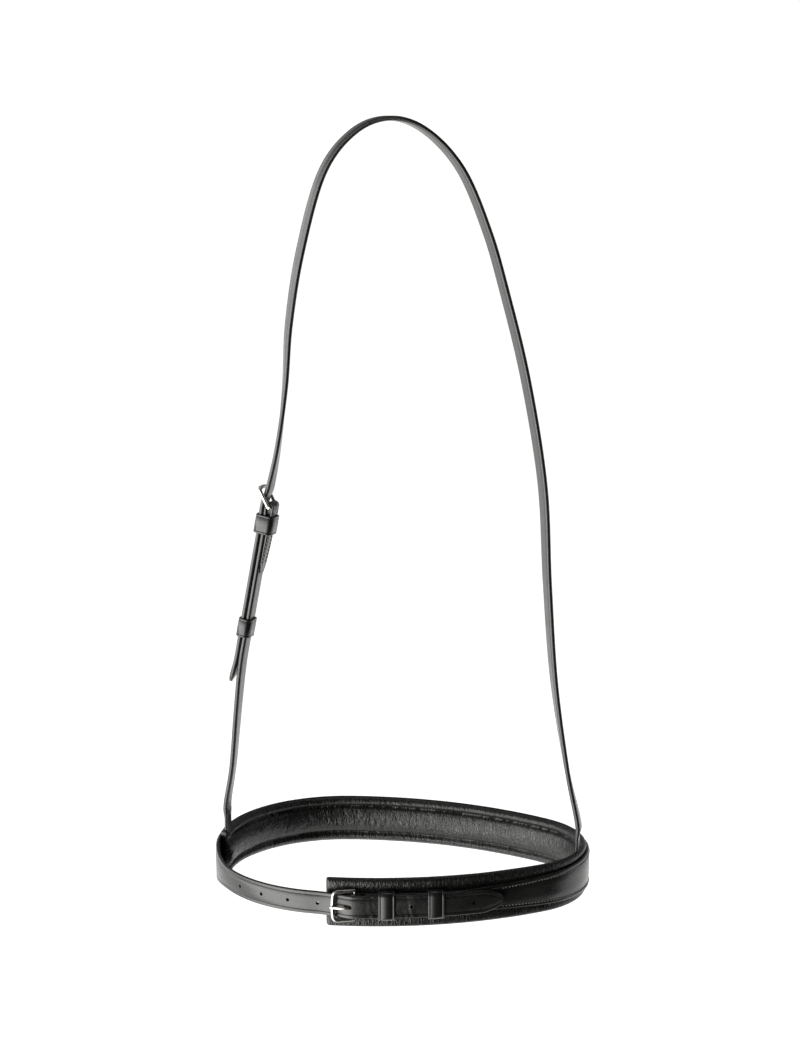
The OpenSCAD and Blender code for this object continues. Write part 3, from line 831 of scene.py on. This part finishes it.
class NOSEBAND_OT_chape(bpy.types.Operator):
    """Fold the thin chape round the chin buckle's bar"""
    bl_idname = "noseband.chape"
    bl_label = "Chin chape"

    def execute(self, context):
        noseband = Noseband(context)
        bar, fold = noseband.chin_bar, noseband.chin_fold
        rest = CHAPE_OUT + CHAPE_THICK / 2
        line = [(noseband.chape_end - k * 2 * MM, rest)
                for k in range(int((noseband.chape_end - bar) / (2 * MM)))]
        line += [(bar - fold * math.sin(math.radians(a)),
                  noseband.bar_out - fold * math.cos(math.radians(a))) for a in range(0, 181, 20)]
        line += [(bar + 2 * MM, noseband.bar_out + fold - 0.1 * MM),
                 (bar + 4 * MM, noseband.bar_out + fold - 0.35 * MM)]
        rings = []
        for i, (s, out) in enumerate(line):
            ahead, behind = line[min(i + 1, len(line) - 1)], line[max(i - 1, 0)]
            run = Vector((ahead[0] - behind[0], ahead[1] - behind[1])).normalized()
            thin = CHAPE_THICK * (0.5 if i in (0, len(line) - 1) else 1)
            rings.append([noseband.oval.at(s - run.y * o, out + run.x * o, a) for a, o in
                          strap_outline(noseband.sizes.chin_width, thin, crease=0.1 * MM)])
        piece = swept_piece("chin_chape_leather", rings,
                            bridle_leather(context, "chape_leather", wear=0.7))
        s = bar - 1 * MM
        slot = axes(noseband.oval.at(s, noseband.bar_out, 0), UP, -noseband.oval.along(s),
                    noseband.oval.outward(s))
        punch(piece, [(slot, 1.9 * MM, 3 * MM, SLOT_DEPTH)])
        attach(piece, "noseband")
        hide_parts("chin_chape")
        return {"FINISHED"}


def keeper_rings(place, half_width, low, high, thick, foot, long, corner=2.2 * MM):
    """Rings of a leather loop round (across, out), its walls rounded and its rims creased."""
    inner = []
    middle, half_depth = (low + high) / 2, (high - low) / 2
    corner = min(corner, half_depth * 0.9)
    for quarter, (side, level) in enumerate([(1, 1), (-1, 1), (-1, -1), (1, -1)]):
        for k in range(7):
            angle = (quarter + k / 6) * math.pi / 2
            inner.append((side * (half_width - corner), level * (half_depth - corner), corner, angle))
        if quarter in (0, 2):
            sign = 1 if quarter == 0 else -1
            for part in (0.5, 0, -0.5):
                inner.append((sign * part * (half_width - corner), level * (half_depth - corner),
                              corner, sign * math.pi / 2))
    rings = []
    half = long / 2
    for across, out, radius, angle in inner + inner[:1]:
        wall = foot if math.sin(angle) < -0.7 else thick
        rim = [(0.25 * MM, 0), (0, 0.25 * MM), (0, wall - 0.35 * MM), (0.3 * MM, wall),
               (1.2 * MM, wall + 0.05 * MM), (1.5 * MM, wall - 0.2 * MM), (1.8 * MM, wall)]
        profile = [(run - half, rise) for run, rise in rim] + [(0, wall + 0.08 * MM)]
        profile += [(half - run, rise) for run, rise in reversed(rim)] + [(0, 0)]
        direction = (math.cos(angle), math.sin(angle))
        rings.append([place @ Vector((across + direction[0] * (radius + rise), run,
                                      middle + out + direction[1] * (radius + rise)))
                      for run, rise in profile])
    return rings


class NOSEBAND_OT_chin_keepers(bpy.types.Operator):
    """Wrap the two sewn keepers round the chin strap"""
    bl_idname = "noseband.chin_keepers"
    bl_label = "Chin keepers"

    LONG = 11 * MM

    def execute(self, context):
        noseband = Noseband(context)
        for name, s in (("chin_keeper_front", noseband.front_keeper),
                        ("chin_keeper_rear", noseband.rear_keeper)):
            place = axes(noseband.oval.at(s, 0, 0), UP, -noseband.oval.along(s),
                         noseband.oval.outward(s))
            rings = keeper_rings(place, noseband.sizes.chin_width / 2 + SLIP, GAP + KEEPER_FOOT,
                                 noseband.stack_top + GAP, noseband.head.keeper_thick,
                                 KEEPER_FOOT, self.LONG)
            piece = swept_piece(name + "_leather", rings, keeper_leather(context),
                                closed=True)
            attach(piece, "noseband")
            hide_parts(name)
        return {"FINISHED"}


class Cheek:
    """The cheek buckle's own axes: out from the horse's cheek, up the strap, across it."""

    LAYER = 2 * MM          # leather skived to this where it folds round the bar
    STRAP_STEP = 0.6 * MM   # from the fold's outer face in to the strap's
    LIE = 0.2 * MM          # from the cheek strap to the billet that lies on it
    BAR_LIE = 0.25 * MM

    def __init__(self, context):
        self.head = context.scene.headpiece_sizes
        self.bar = joint_place("cheek_buckle_lift")
        self.across = -Vector(joint_named("cheek_buckle_lift")["axis"]).normalized()
        self.up = Vector(joint_named("keeper_slide")["axis"]).normalized()
        self.out = self.up.cross(self.across)
        self.twist = math.degrees(math.atan2(self.across.x, self.across.y))
        self.fold = self.head.wire + GAP + self.LAYER / 2
        self.face = self.fold + self.LAYER / 2
        self.strap_face = self.face - self.STRAP_STEP
        self.strap_middle = self.strap_face - self.head.thick / 2
        self.billet_middle = self.strap_face + self.LIE + self.head.thick / 2
        self.billet_at_bar = self.face + self.BAR_LIE + self.head.thick / 2

    def at(self, out, up, across=0.0):
        return self.bar + self.out * out + self.up * up + self.across * across

    def knot(self, out, up):
        return (self.at(out * MM, up * MM), self.twist)


# The headpiece's course over the head, in millimetres: x, y, z and its twist in degrees
HEAD_COURSE = [
    (-76, 4.5, -216, 4),
    (-71, 3.6, -176, -8),
    (-68, 2.8, -134, -16),
    (-60, 1.8, -86, -20),
    (-45, 0.8, -34, -20),
    (-24, 0.2, -7, -20),
    (0, 0, 1.65, -20),
    (24, -0.2, -7, -20),
    (47, -1, -32, -20),
    (64, -2.2, -71, -20),
    (76, -3.4, -111, -20),
    (91, -5.2, -171, -20),
    (103, -7.4, -242, -18),
    (107, -9.4, -310, -15),
    (112, -14.5, -376, -10),
    (121, -20, -436, 0),
]
CHEEK_COURSE = [(-111, 14.5, -446, 8), (-106.5, 10, -402, 12)]
STANDARD_LENGTH = 257 * MM    # the oval and the drop that the courses are drawn for
STANDARD_DROP = 511 * MM
TAB_DEPTH = 27 * MM
TAB_IN = 3.4 * MM             # the sewn-in ends lie this far inside the padding's back


def head_knots(points):
    return [(Vector((x, y, z)) * MM, twist) for x, y, z, twist in points]


def sewn_end(hinge, twist):
    """The knots of a strap's end that is sewn in between the outer leather and the lining."""
    return [(hinge + UP * 12 * MM, twist), (hinge, twist), (hinge - UP * TAB_DEPTH, twist)]


def across_hinge(piece):
    """Bakes the strap's placement into its mesh."""
    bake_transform(piece)


class NOSEBAND_OT_head_strap(bpy.types.Operator):
    """Make the headpiece: its billet, the crown and the plain cheek are one strap"""
    bl_idname = "noseband.head_strap"
    bl_label = "Headpiece strap"

    HOLES = 5
    HOLE_IN_USE = 4.6 * MM
    POINT = 11 * MM

    def execute(self, context):
        noseband, cheek = Noseband(context), Cheek(context)
        head = cheek.head
        width_scale = noseband.sizes.oval_length / STANDARD_LENGTH
        drop_scale = -mount_place("nose_opening").z / STANDARD_DROP
        middle, at_bar = cheek.billet_middle / MM, cheek.billet_at_bar / MM
        knots = [cheek.knot(middle + 2.6, -head.billet_length / MM), cheek.knot(middle + 1.0, -119)]
        knots += [cheek.knot(middle, up) for up in (-109, -90, -60, -36, -16)]
        knots += [cheek.knot(at_bar - 0.2, -6), cheek.knot(at_bar, 0), cheek.knot(at_bar - 0.5, 6),
                  cheek.knot(middle - 1.2, 14)]
        for place, twist in head_knots(HEAD_COURSE):
            at_crown = place.z > 0
            knots.append((Vector((place.x * width_scale, place.y,
                                  place.z if at_crown else place.z * drop_scale)), twist))
        other_exit = noseband.oval.length - noseband.exit
        height = noseband.hinge.z - noseband.oval.centre.z
        hinge = noseband.oval.at(other_exit, -TAB_IN, height)
        turn = -math.degrees(math.atan2(*((hinge - noseband.hinge).yx)))
        knots += sewn_end(hinge, turn)
        course = Course(knots)

        def width_at(distance):
            return head.width * (0.22 + 0.78 * math.sqrt(min(1.0, distance / self.POINT)))

        def thick_at(distance):
            skived = between(course.length - distance, TAB_DEPTH, TAB_DEPTH + 6 * MM, 0.6, 1)
            return head.thick * skived * (0.6 + 0.4 * ease(distance / (6 * MM)))

        rings = strap_rings(course, width_at, thick_at, 2.2 * MM)
        piece = swept_piece("head_strap_leather", rings, bridle_leather(context))
        punch(piece, self.holes(cheek))
        across_hinge(piece)
        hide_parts("head_strap", "head_strap_tab")
        return {"FINISHED"}

    def holes(self, cheek):
        tools = []
        for k in range(self.HOLES):
            place = axes(cheek.at(cheek.billet_middle, self.HOLE_IN_USE - k * HOLE_PITCH),
                         cheek.across, cheek.up, cheek.out)
            tools.append(strap_hole(place, k == 0, cheek.head.hole / 2, 1.6 * MM, cheek.head.thick))
        return tools


class NOSEBAND_OT_cheek_strap(bpy.types.Operator):
    """Make the cheek strap, folded round the cheek buckle's bar and skived to a thin tail"""
    bl_idname = "noseband.cheek_strap"
    bl_label = "Cheek strap"

    TAIL = 47 * MM

    def execute(self, context):
        noseband, cheek = Noseband(context), Cheek(context)
        head = cheek.head
        turn = noseband_turn(noseband)
        knots = list(reversed(sewn_end(noseband.hinge, turn)))
        knots += head_knots(CHEEK_COURSE)
        middle = cheek.strap_middle / MM
        fold = cheek.fold / MM
        knots += [cheek.knot(middle, up) for up in (-112, -84, -56, -34, -20)]
        knots += [cheek.knot(middle + 0.25, -11), cheek.knot(fold - 0.35, -5)]
        knots += [cheek.knot(fold * math.cos(math.radians(a)), fold * math.sin(math.radians(a)))
                  for a in range(0, 181, 30)]
        back = cheek.strap_face - head.thick
        knots += [cheek.knot(-fold + 0.1, -6), cheek.knot(back / MM - 1.3, -14),
                  cheek.knot(back / MM - 1.1, -28), cheek.knot(back / MM - 0.55, -self.TAIL / MM)]
        course = Course(knots)
        tail_start = course.length - self.TAIL

        def thick_at(distance):
            skived = between(distance, TAB_DEPTH, TAB_DEPTH + 6 * MM, 0.6, 1)
            full = head.thick * skived
            fold_start = tail_start - 16 * MM
            folded = between(distance, fold_start, fold_start + 7 * MM, full, cheek.LAYER)
            return between(distance, course.length - 30 * MM, course.length, folded, 0.5 * MM)

        def width_at(distance):
            return between(distance, course.length - 9 * MM, course.length + 3 * MM, head.width,
                           0.5 * head.width)

        rings = strap_rings(course, width_at, thick_at, 1.0 * MM)
        piece = swept_piece("cheek_strap_leather", rings, bridle_leather(context))
        slot = axes(cheek.at(0, 2.5 * MM), cheek.across, cheek.up, cheek.out)
        punch(piece, [(slot, 1.7 * MM, 3.2 * MM, SLOT_DEPTH)])
        across_hinge(piece)
        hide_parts("cheek_strap", "cheek_strap_tab")
        self.sew_tail(context, cheek, course, tail_start)
        return {"FINISHED"}

    def sew_tail(self, context, cheek, course, start):
        mesh = bmesh.new()
        count = 15
        for side in (-1, 1):
            for k in range(count):
                distance = start + (4 + k * 2.5) * MM
                middle, across, face = course.at(distance)
                along = face.cross(across)
                seat = between(distance, course.length - 30 * MM, course.length, cheek.LAYER,
                               0.5 * MM) / 2
                edge = cheek.head.width / 2 - CREASE_INSET
                add_stitch(mesh, middle + across * side * edge + face * seat, along, face)
        piece = as_piece("cheek_tail_thread", mesh, waxed_thread(context), sharp=180)
        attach(piece, "headpiece")


def noseband_turn(noseband):
    """The twist that lays a strap end flat against the noseband where it is sewn in."""
    other = noseband.oval.at(noseband.oval.length - noseband.exit, 0, 0)
    near = noseband.oval.at(noseband.exit, 0, 0)
    return -math.degrees(math.atan2(other.y - near.y, other.x - near.x))


class NOSEBAND_OT_cheek_keepers(bpy.types.Operator):
    """Wrap the sewn keeper and the running keeper round the cheek straps"""
    bl_idname = "noseband.cheek_keepers"
    bl_label = "Cheek keepers"

    LONG = 13 * MM
    FIXED_BELOW_BAR = 6 * MM
    RUNNING_BELOW_BAR = 80 * MM
    CORNER = 2.8 * MM

    def execute(self, context):
        cheek = Cheek(context)
        head = cheek.head
        fixed_top = cheek.billet_at_bar + head.thick / 2 + SLIP
        running_top = cheek.billet_middle + head.thick / 2 + SLIP
        back = cheek.strap_face - head.thick - SLIP
        for name, body, low, top, below in (
                ("cheek_keeper_fixed", "headpiece", -cheek.face - SLIP, fixed_top,
                 self.FIXED_BELOW_BAR),
                ("cheek_keeper_running", "running_keeper", back, running_top,
                 self.RUNNING_BELOW_BAR)):
            place = axes(cheek.at(0, -below - self.LONG / 2), cheek.across, cheek.up, cheek.out)
            rings = keeper_rings(place, head.width / 2 + SLIP, low, top, head.keeper_thick,
                                 head.keeper_thick, self.LONG, corner=self.CORNER)
            piece = swept_piece(name + "_leather", rings, keeper_leather(context),
                                closed=True)
            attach(piece, body)
            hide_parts(name)
        return {"FINISHED"}


class NOSEBAND_OT_buckles(bpy.types.Operator):
    """Bend the two buckle frames and their tongues"""
    bl_idname = "noseband.buckles"
    bl_label = "Buckles"

    CORNER = 3.2 * MM
    SIDE_ROOM = 0.6 * MM
    TONGUE_RADIUS = 1.05 * MM
    CHIN_TILT = math.radians(15)
    CHEEK_TILT = math.radians(37)

    def frame_path(self, half, reach):
        """The frame's wire from one end of the bar round to the other: (across, along)."""
        path = [(-half, 0.0), (-half, 0.35 * (reach - self.CORNER)),
                (-half, 0.7 * (reach - self.CORNER))]
        turns = [math.radians(180 - 90 * k / 8) for k in range(9)]
        bend = [(self.CORNER * math.cos(turn), reach + self.CORNER * (math.sin(turn) - 1))
                for turn in turns]
        path += [(along - half + self.CORNER, up) for along, up in bend]
        path += [(part * (half - self.CORNER), reach + 0.35 * MM * (1 - part * part))
                 for part in (-0.6, -0.3, 0, 0.3, 0.6)]
        path += [(half - self.CORNER - along, up) for along, up in reversed(bend)]
        path += [(half, 0.7 * (reach - self.CORNER)), (half, 0.35 * (reach - self.CORNER)), (half, 0.0)]
        return path

    def make_frame(self, context, name, node, body, place, strap_width, tilt):
        head = context.scene.headpiece_sizes
        half = strap_width / 2 + self.SIDE_ROOM + head.wire
        lean = place @ Matrix.Rotation(-tilt, 4, "Y")
        side = (lean.to_3x3() @ Vector((1, 0, 0))).normalized()
        path = [lean @ Vector((0, across, along)) for across, along in
                self.frame_path(half, head.buckle_reach)]
        last = len(path) - 1
        radii = [head.wire * (0.92 + 0.16 * math.sin(math.pi * i / last)) for i in range(last + 1)]
        mesh = bmesh.new()
        add_swept(mesh, wire_rings(path, radii, side))
        ends = 6
        bar = [lean @ Vector((0, half * (2 * k / ends - 1) * 1.04, 0)) for k in range(ends + 1)]
        girth = [head.wire * (0.75 if k in (0, ends) else 1.0) for k in range(ends + 1)]
        add_swept(mesh, wire_rings(bar, girth, side))
        piece = as_piece(name, mesh, nickel(context), sharp=60)
        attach(piece, body)
        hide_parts(node)

    def make_tongue(self, context, name, node, body, place, course):
        head = context.scene.headpiece_sizes
        eye = head.wire + 0.75 * MM
        curl = [(eye * math.cos(math.radians(a)), eye * math.sin(math.radians(a)))
                for a in range(-250, 31, 20)]
        path = [place @ Vector((-out, 0, up)) for out, up in curl + course]
        side = (place.to_3x3() @ Vector((0, 1, 0))).normalized()
        radii = [self.TONGUE_RADIUS] * (len(path) - 1) + [0.55 * self.TONGUE_RADIUS]
        piece = swept_piece(name, wire_rings(path, radii, side, flat=0.66), nickel(context),
                            sharp=60)
        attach(piece, body)
        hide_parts(node)

    @staticmethod
    def smooth(points, fine=5):
        course = Course([((x, 0, y), 0.0) for x, y in points])
        count = fine * (len(points) - 1)
        places = [course.point(course.length * k / count)[0] for k in range(count + 1)]
        return [(place.x, place.z) for place in places]

    def execute(self, context):
        noseband, cheek = Noseband(context), Cheek(context)
        head = context.scene.headpiece_sizes
        reach, wire = head.buckle_reach, head.wire
        s = noseband.chin_bar
        chin = axes(noseband.oval.at(s, noseband.bar_out, 0), -noseband.oval.outward(s), -UP,
                    -noseband.oval.along(s))
        chin_tilt = self.CHIN_TILT
        self.make_frame(context, "chin_buckle", "chin_buckle_frame", "chin_buckle", chin,
                        noseband.sizes.chin_width, chin_tilt)
        rise = noseband.over_bar - noseband.bar_out + noseband.sizes.band_thick
        tip_out = reach * math.sin(chin_tilt) + wire + 0.95 * MM
        self.make_tongue(context, "chin_tongue", "chin_buckle_tongue", "chin_tongue", chin,
                         self.smooth([(2.2 * MM, 1.8 * MM), (3.3 * MM, 3.2 * MM),
                                      (rise + 1.0 * MM, 4.8 * MM), (rise + 1.45 * MM, 7.5 * MM),
                                      (tip_out, reach * math.cos(chin_tilt) - 1 * MM),
                                      (tip_out - 0.2 * MM, reach + 1.4 * MM)]))
        place = axes(cheek.bar, -cheek.out, cheek.across, cheek.up)
        tilt = self.CHEEK_TILT
        self.make_frame(context, "cheek_buckle", "cheek_buckle_frame", "cheek_buckle", place,
                        head.width, tilt)
        end = Vector((reach * math.sin(tilt), reach * math.cos(tilt)))
        over = end + (wire + 1.0 * MM) * Vector((math.cos(tilt), -math.sin(tilt)))
        tip = over + 1.8 * MM * Vector((math.sin(tilt), math.cos(tilt)))
        self.make_tongue(context, "cheek_tongue", "cheek_buckle_tongue", "cheek_tongue", place,
                         self.smooth([(2.2 * MM, 1.7 * MM), (3.4 * MM, 2.8 * MM),
                                      (cheek.billet_at_bar + head.thick / 2 + 0.7 * MM, 4.8 * MM),
                                      tuple(over), tuple(tip)]))
        return {"FINISHED"}


class NOSEBAND_OT_stage(bpy.types.Operator):
    """Set the pale floor, the studio lights and the camera"""
    bl_idname = "noseband.stage"
    bl_label = "Stage and camera"

    FLOOR_GAP = 0.16
    FLOOR_SIZE = 24
    FLOOR_FRONT = -0.1
    LENS, SENSOR = 72.4, 36
    CAMERA_PLACE = (0.0066, -1.405, 0.002)
    CAMERA_TILT = math.radians(79.1)

    def soft_light(self, name, place, aim, size, power):
        data = bpy.data.lights.new(name, "AREA")
        data.shape = "RECTANGLE"
        data.size, data.size_y = size
        data.energy = power
        light = bpy.data.objects.new(name, data)
        light.location = place
        light.rotation_euler = (Vector(aim) - Vector(place)).to_track_quat("-Z", "Y").to_euler()
        bpy.context.scene.collection.objects.link(light)

    def floor(self, low):
        mesh = bmesh.new()
        bmesh.ops.create_grid(mesh, x_segments=2, y_segments=2, size=self.FLOOR_SIZE / 2)
        back = self.FLOOR_SIZE / 2 + self.FLOOR_FRONT
        bmesh.ops.translate(mesh, verts=mesh.verts, vec=(0, back, low - self.FLOOR_GAP))
        data = bpy.data.meshes.new("floor")
        mesh.to_mesh(data)
        mesh.free()
        paint = Paint("pale_floor")
        paint.set(Base_Color=(0.9, 0.9, 0.89, 1), Roughness=0.9, Emission_Color=(1, 1, 0.995, 1),
                  Emission_Strength=0.85)
        data.materials.append(paint.material)
        piece = bpy.data.objects.new("floor", data)
        bpy.context.scene.collection.objects.link(piece)

    def studio_air(self):
        """White for the eye; for the leather, a wide soft light on the left, dim elsewhere."""
        world = bpy.data.worlds.new("studio")
        bpy.context.scene.world = world
        world.use_nodes = True
        nodes, links = world.node_tree.nodes, world.node_tree.links
        nodes.clear()
        place = nodes.new("ShaderNodeTexCoord")
        split = nodes.new("ShaderNodeSeparateXYZ")
        links.new(place.outputs["Generated"], split.inputs[0])

        def fade(axis, start, full, dim, bright):
            node = nodes.new("ShaderNodeMapRange")
            node.interpolation_type = "SMOOTHSTEP"
            for key, value in (("From Min", start), ("From Max", full), ("To Min", dim),
                               ("To Max", bright)):
                node.inputs[key].default_value = value
            links.new(split.outputs[axis], node.inputs["Value"])
            return node.outputs["Result"]

        def joined(operation, first, second):
            node = nodes.new("ShaderNodeMath")
            node.operation = operation
            links.new(first, node.inputs[0])
            links.new(second, node.inputs[1])
            return node.outputs[0]

        left_light = fade("X", -0.14, -0.42, 0, 5.6)
        left_light = joined("MULTIPLY", left_light, fade("Y", 0.1, 0.7, 1, 0.22))
        left_light = joined("MULTIPLY", left_light, fade("Z", 0.05, 0.45, 1, 0.06))
        strength = joined("ADD", left_light, fade("Y", 0.25, 1.0, 0.015, 0.3))
        lit = nodes.new("ShaderNodeBackground")
        links.new(strength, lit.inputs["Strength"])
        seen = nodes.new("ShaderNodeBackground")
        seen.inputs["Strength"].default_value = 1.1
        ray = nodes.new("ShaderNodeLightPath")
        pick = nodes.new("ShaderNodeMixShader")
        links.new(ray.outputs["Is Camera Ray"], pick.inputs[0])
        links.new(lit.outputs[0], pick.inputs[1])
        links.new(seen.outputs[0], pick.inputs[2])
        for background in (lit, seen):
            background.inputs["Color"].default_value = (1, 1, 0.99, 1)
        output = nodes.new("ShaderNodeOutputWorld")
        links.new(pick.outputs[0], output.inputs["Surface"])

    def camera(self):
        data = bpy.data.cameras.new("camera")
        data.lens = self.LENS
        data.sensor_width = self.SENSOR
        camera = bpy.data.objects.new("camera", data)
        camera.location = self.CAMERA_PLACE
        camera.rotation_euler = (self.CAMERA_TILT, 0, 0)
        bpy.context.scene.collection.objects.link(camera)
        bpy.context.scene.camera = camera

    def execute(self, context):
        low = Vector(CAD_BOX[0])
        middle = mount_place("nose_opening")
        self.floor(low.z)
        self.studio_air()
        straps = middle + Vector((0, 0, 0.2))
        self.soft_light("left_softbox", (-1.5, -0.75, 0.0), straps, (1.3, 1.5), 9)
        self.soft_light("right_fill", (1.6, 0.4, 0.1), straps, (0.8, 1.4), 3)
        self.soft_light("top_soft", (0.1, 0.5, 1.5), middle, (1.0, 0.6), 3)
        self.camera()
        context.scene.view_settings.view_transform = "Standard"
        return {"FINISHED"}


class NOSEBAND_PT_panel(bpy.types.Panel):
    """The noseband's pieces, sizes and finish"""
    bl_label = "Padded noseband"
    bl_idname = "NOSEBAND_PT_panel"
    bl_space_type = "VIEW_3D"
    bl_region_type = "UI"
    bl_category = "Noseband"

    def draw(self, context):
        for operator in OPERATORS:
            self.layout.operator(operator.bl_idname)
        for group in (context.scene.noseband_sizes, context.scene.headpiece_sizes,
                      context.scene.noseband_finish):
            box = self.layout.box()
            for key in group.__annotations__:
                box.prop(group, key)


OPERATORS = (NOSEBAND_OT_stage, NOSEBAND_OT_padding, NOSEBAND_OT_outer_leather,
             NOSEBAND_OT_stitching, NOSEBAND_OT_chape, NOSEBAND_OT_chin_keepers,
             NOSEBAND_OT_head_strap, NOSEBAND_OT_cheek_strap, NOSEBAND_OT_cheek_keepers,
             NOSEBAND_OT_buckles)
GROUPS = {"noseband_sizes": NosebandSizes, "headpiece_sizes": HeadpieceSizes,
          "noseband_finish": NosebandFinish}


def register():
    for kind in (*GROUPS.values(), *OPERATORS, NOSEBAND_PT_panel):
        bpy.utils.register_class(kind)
    for name, group in GROUPS.items():
        setattr(bpy.types.Scene, name, bpy.props.PointerProperty(type=group))


def unregister():
    for name in GROUPS:
        delattr(bpy.types.Scene, name)
    for kind in (NOSEBAND_PT_panel, *reversed(OPERATORS), *reversed(GROUPS.values())):
        bpy.utils.unregister_class(kind)


def main():
    register()
    bpy.ops.noseband.stage()
    bpy.ops.noseband.padding()
    bpy.ops.noseband.outer_leather()
    bpy.ops.noseband.stitching()
    bpy.ops.noseband.chape()
    bpy.ops.noseband.chin_keepers()
    bpy.ops.noseband.head_strap()
    bpy.ops.noseband.cheek_strap()
    bpy.ops.noseband.cheek_keepers()
    bpy.ops.noseband.buckles()


if __name__ == "__main__":
    main()
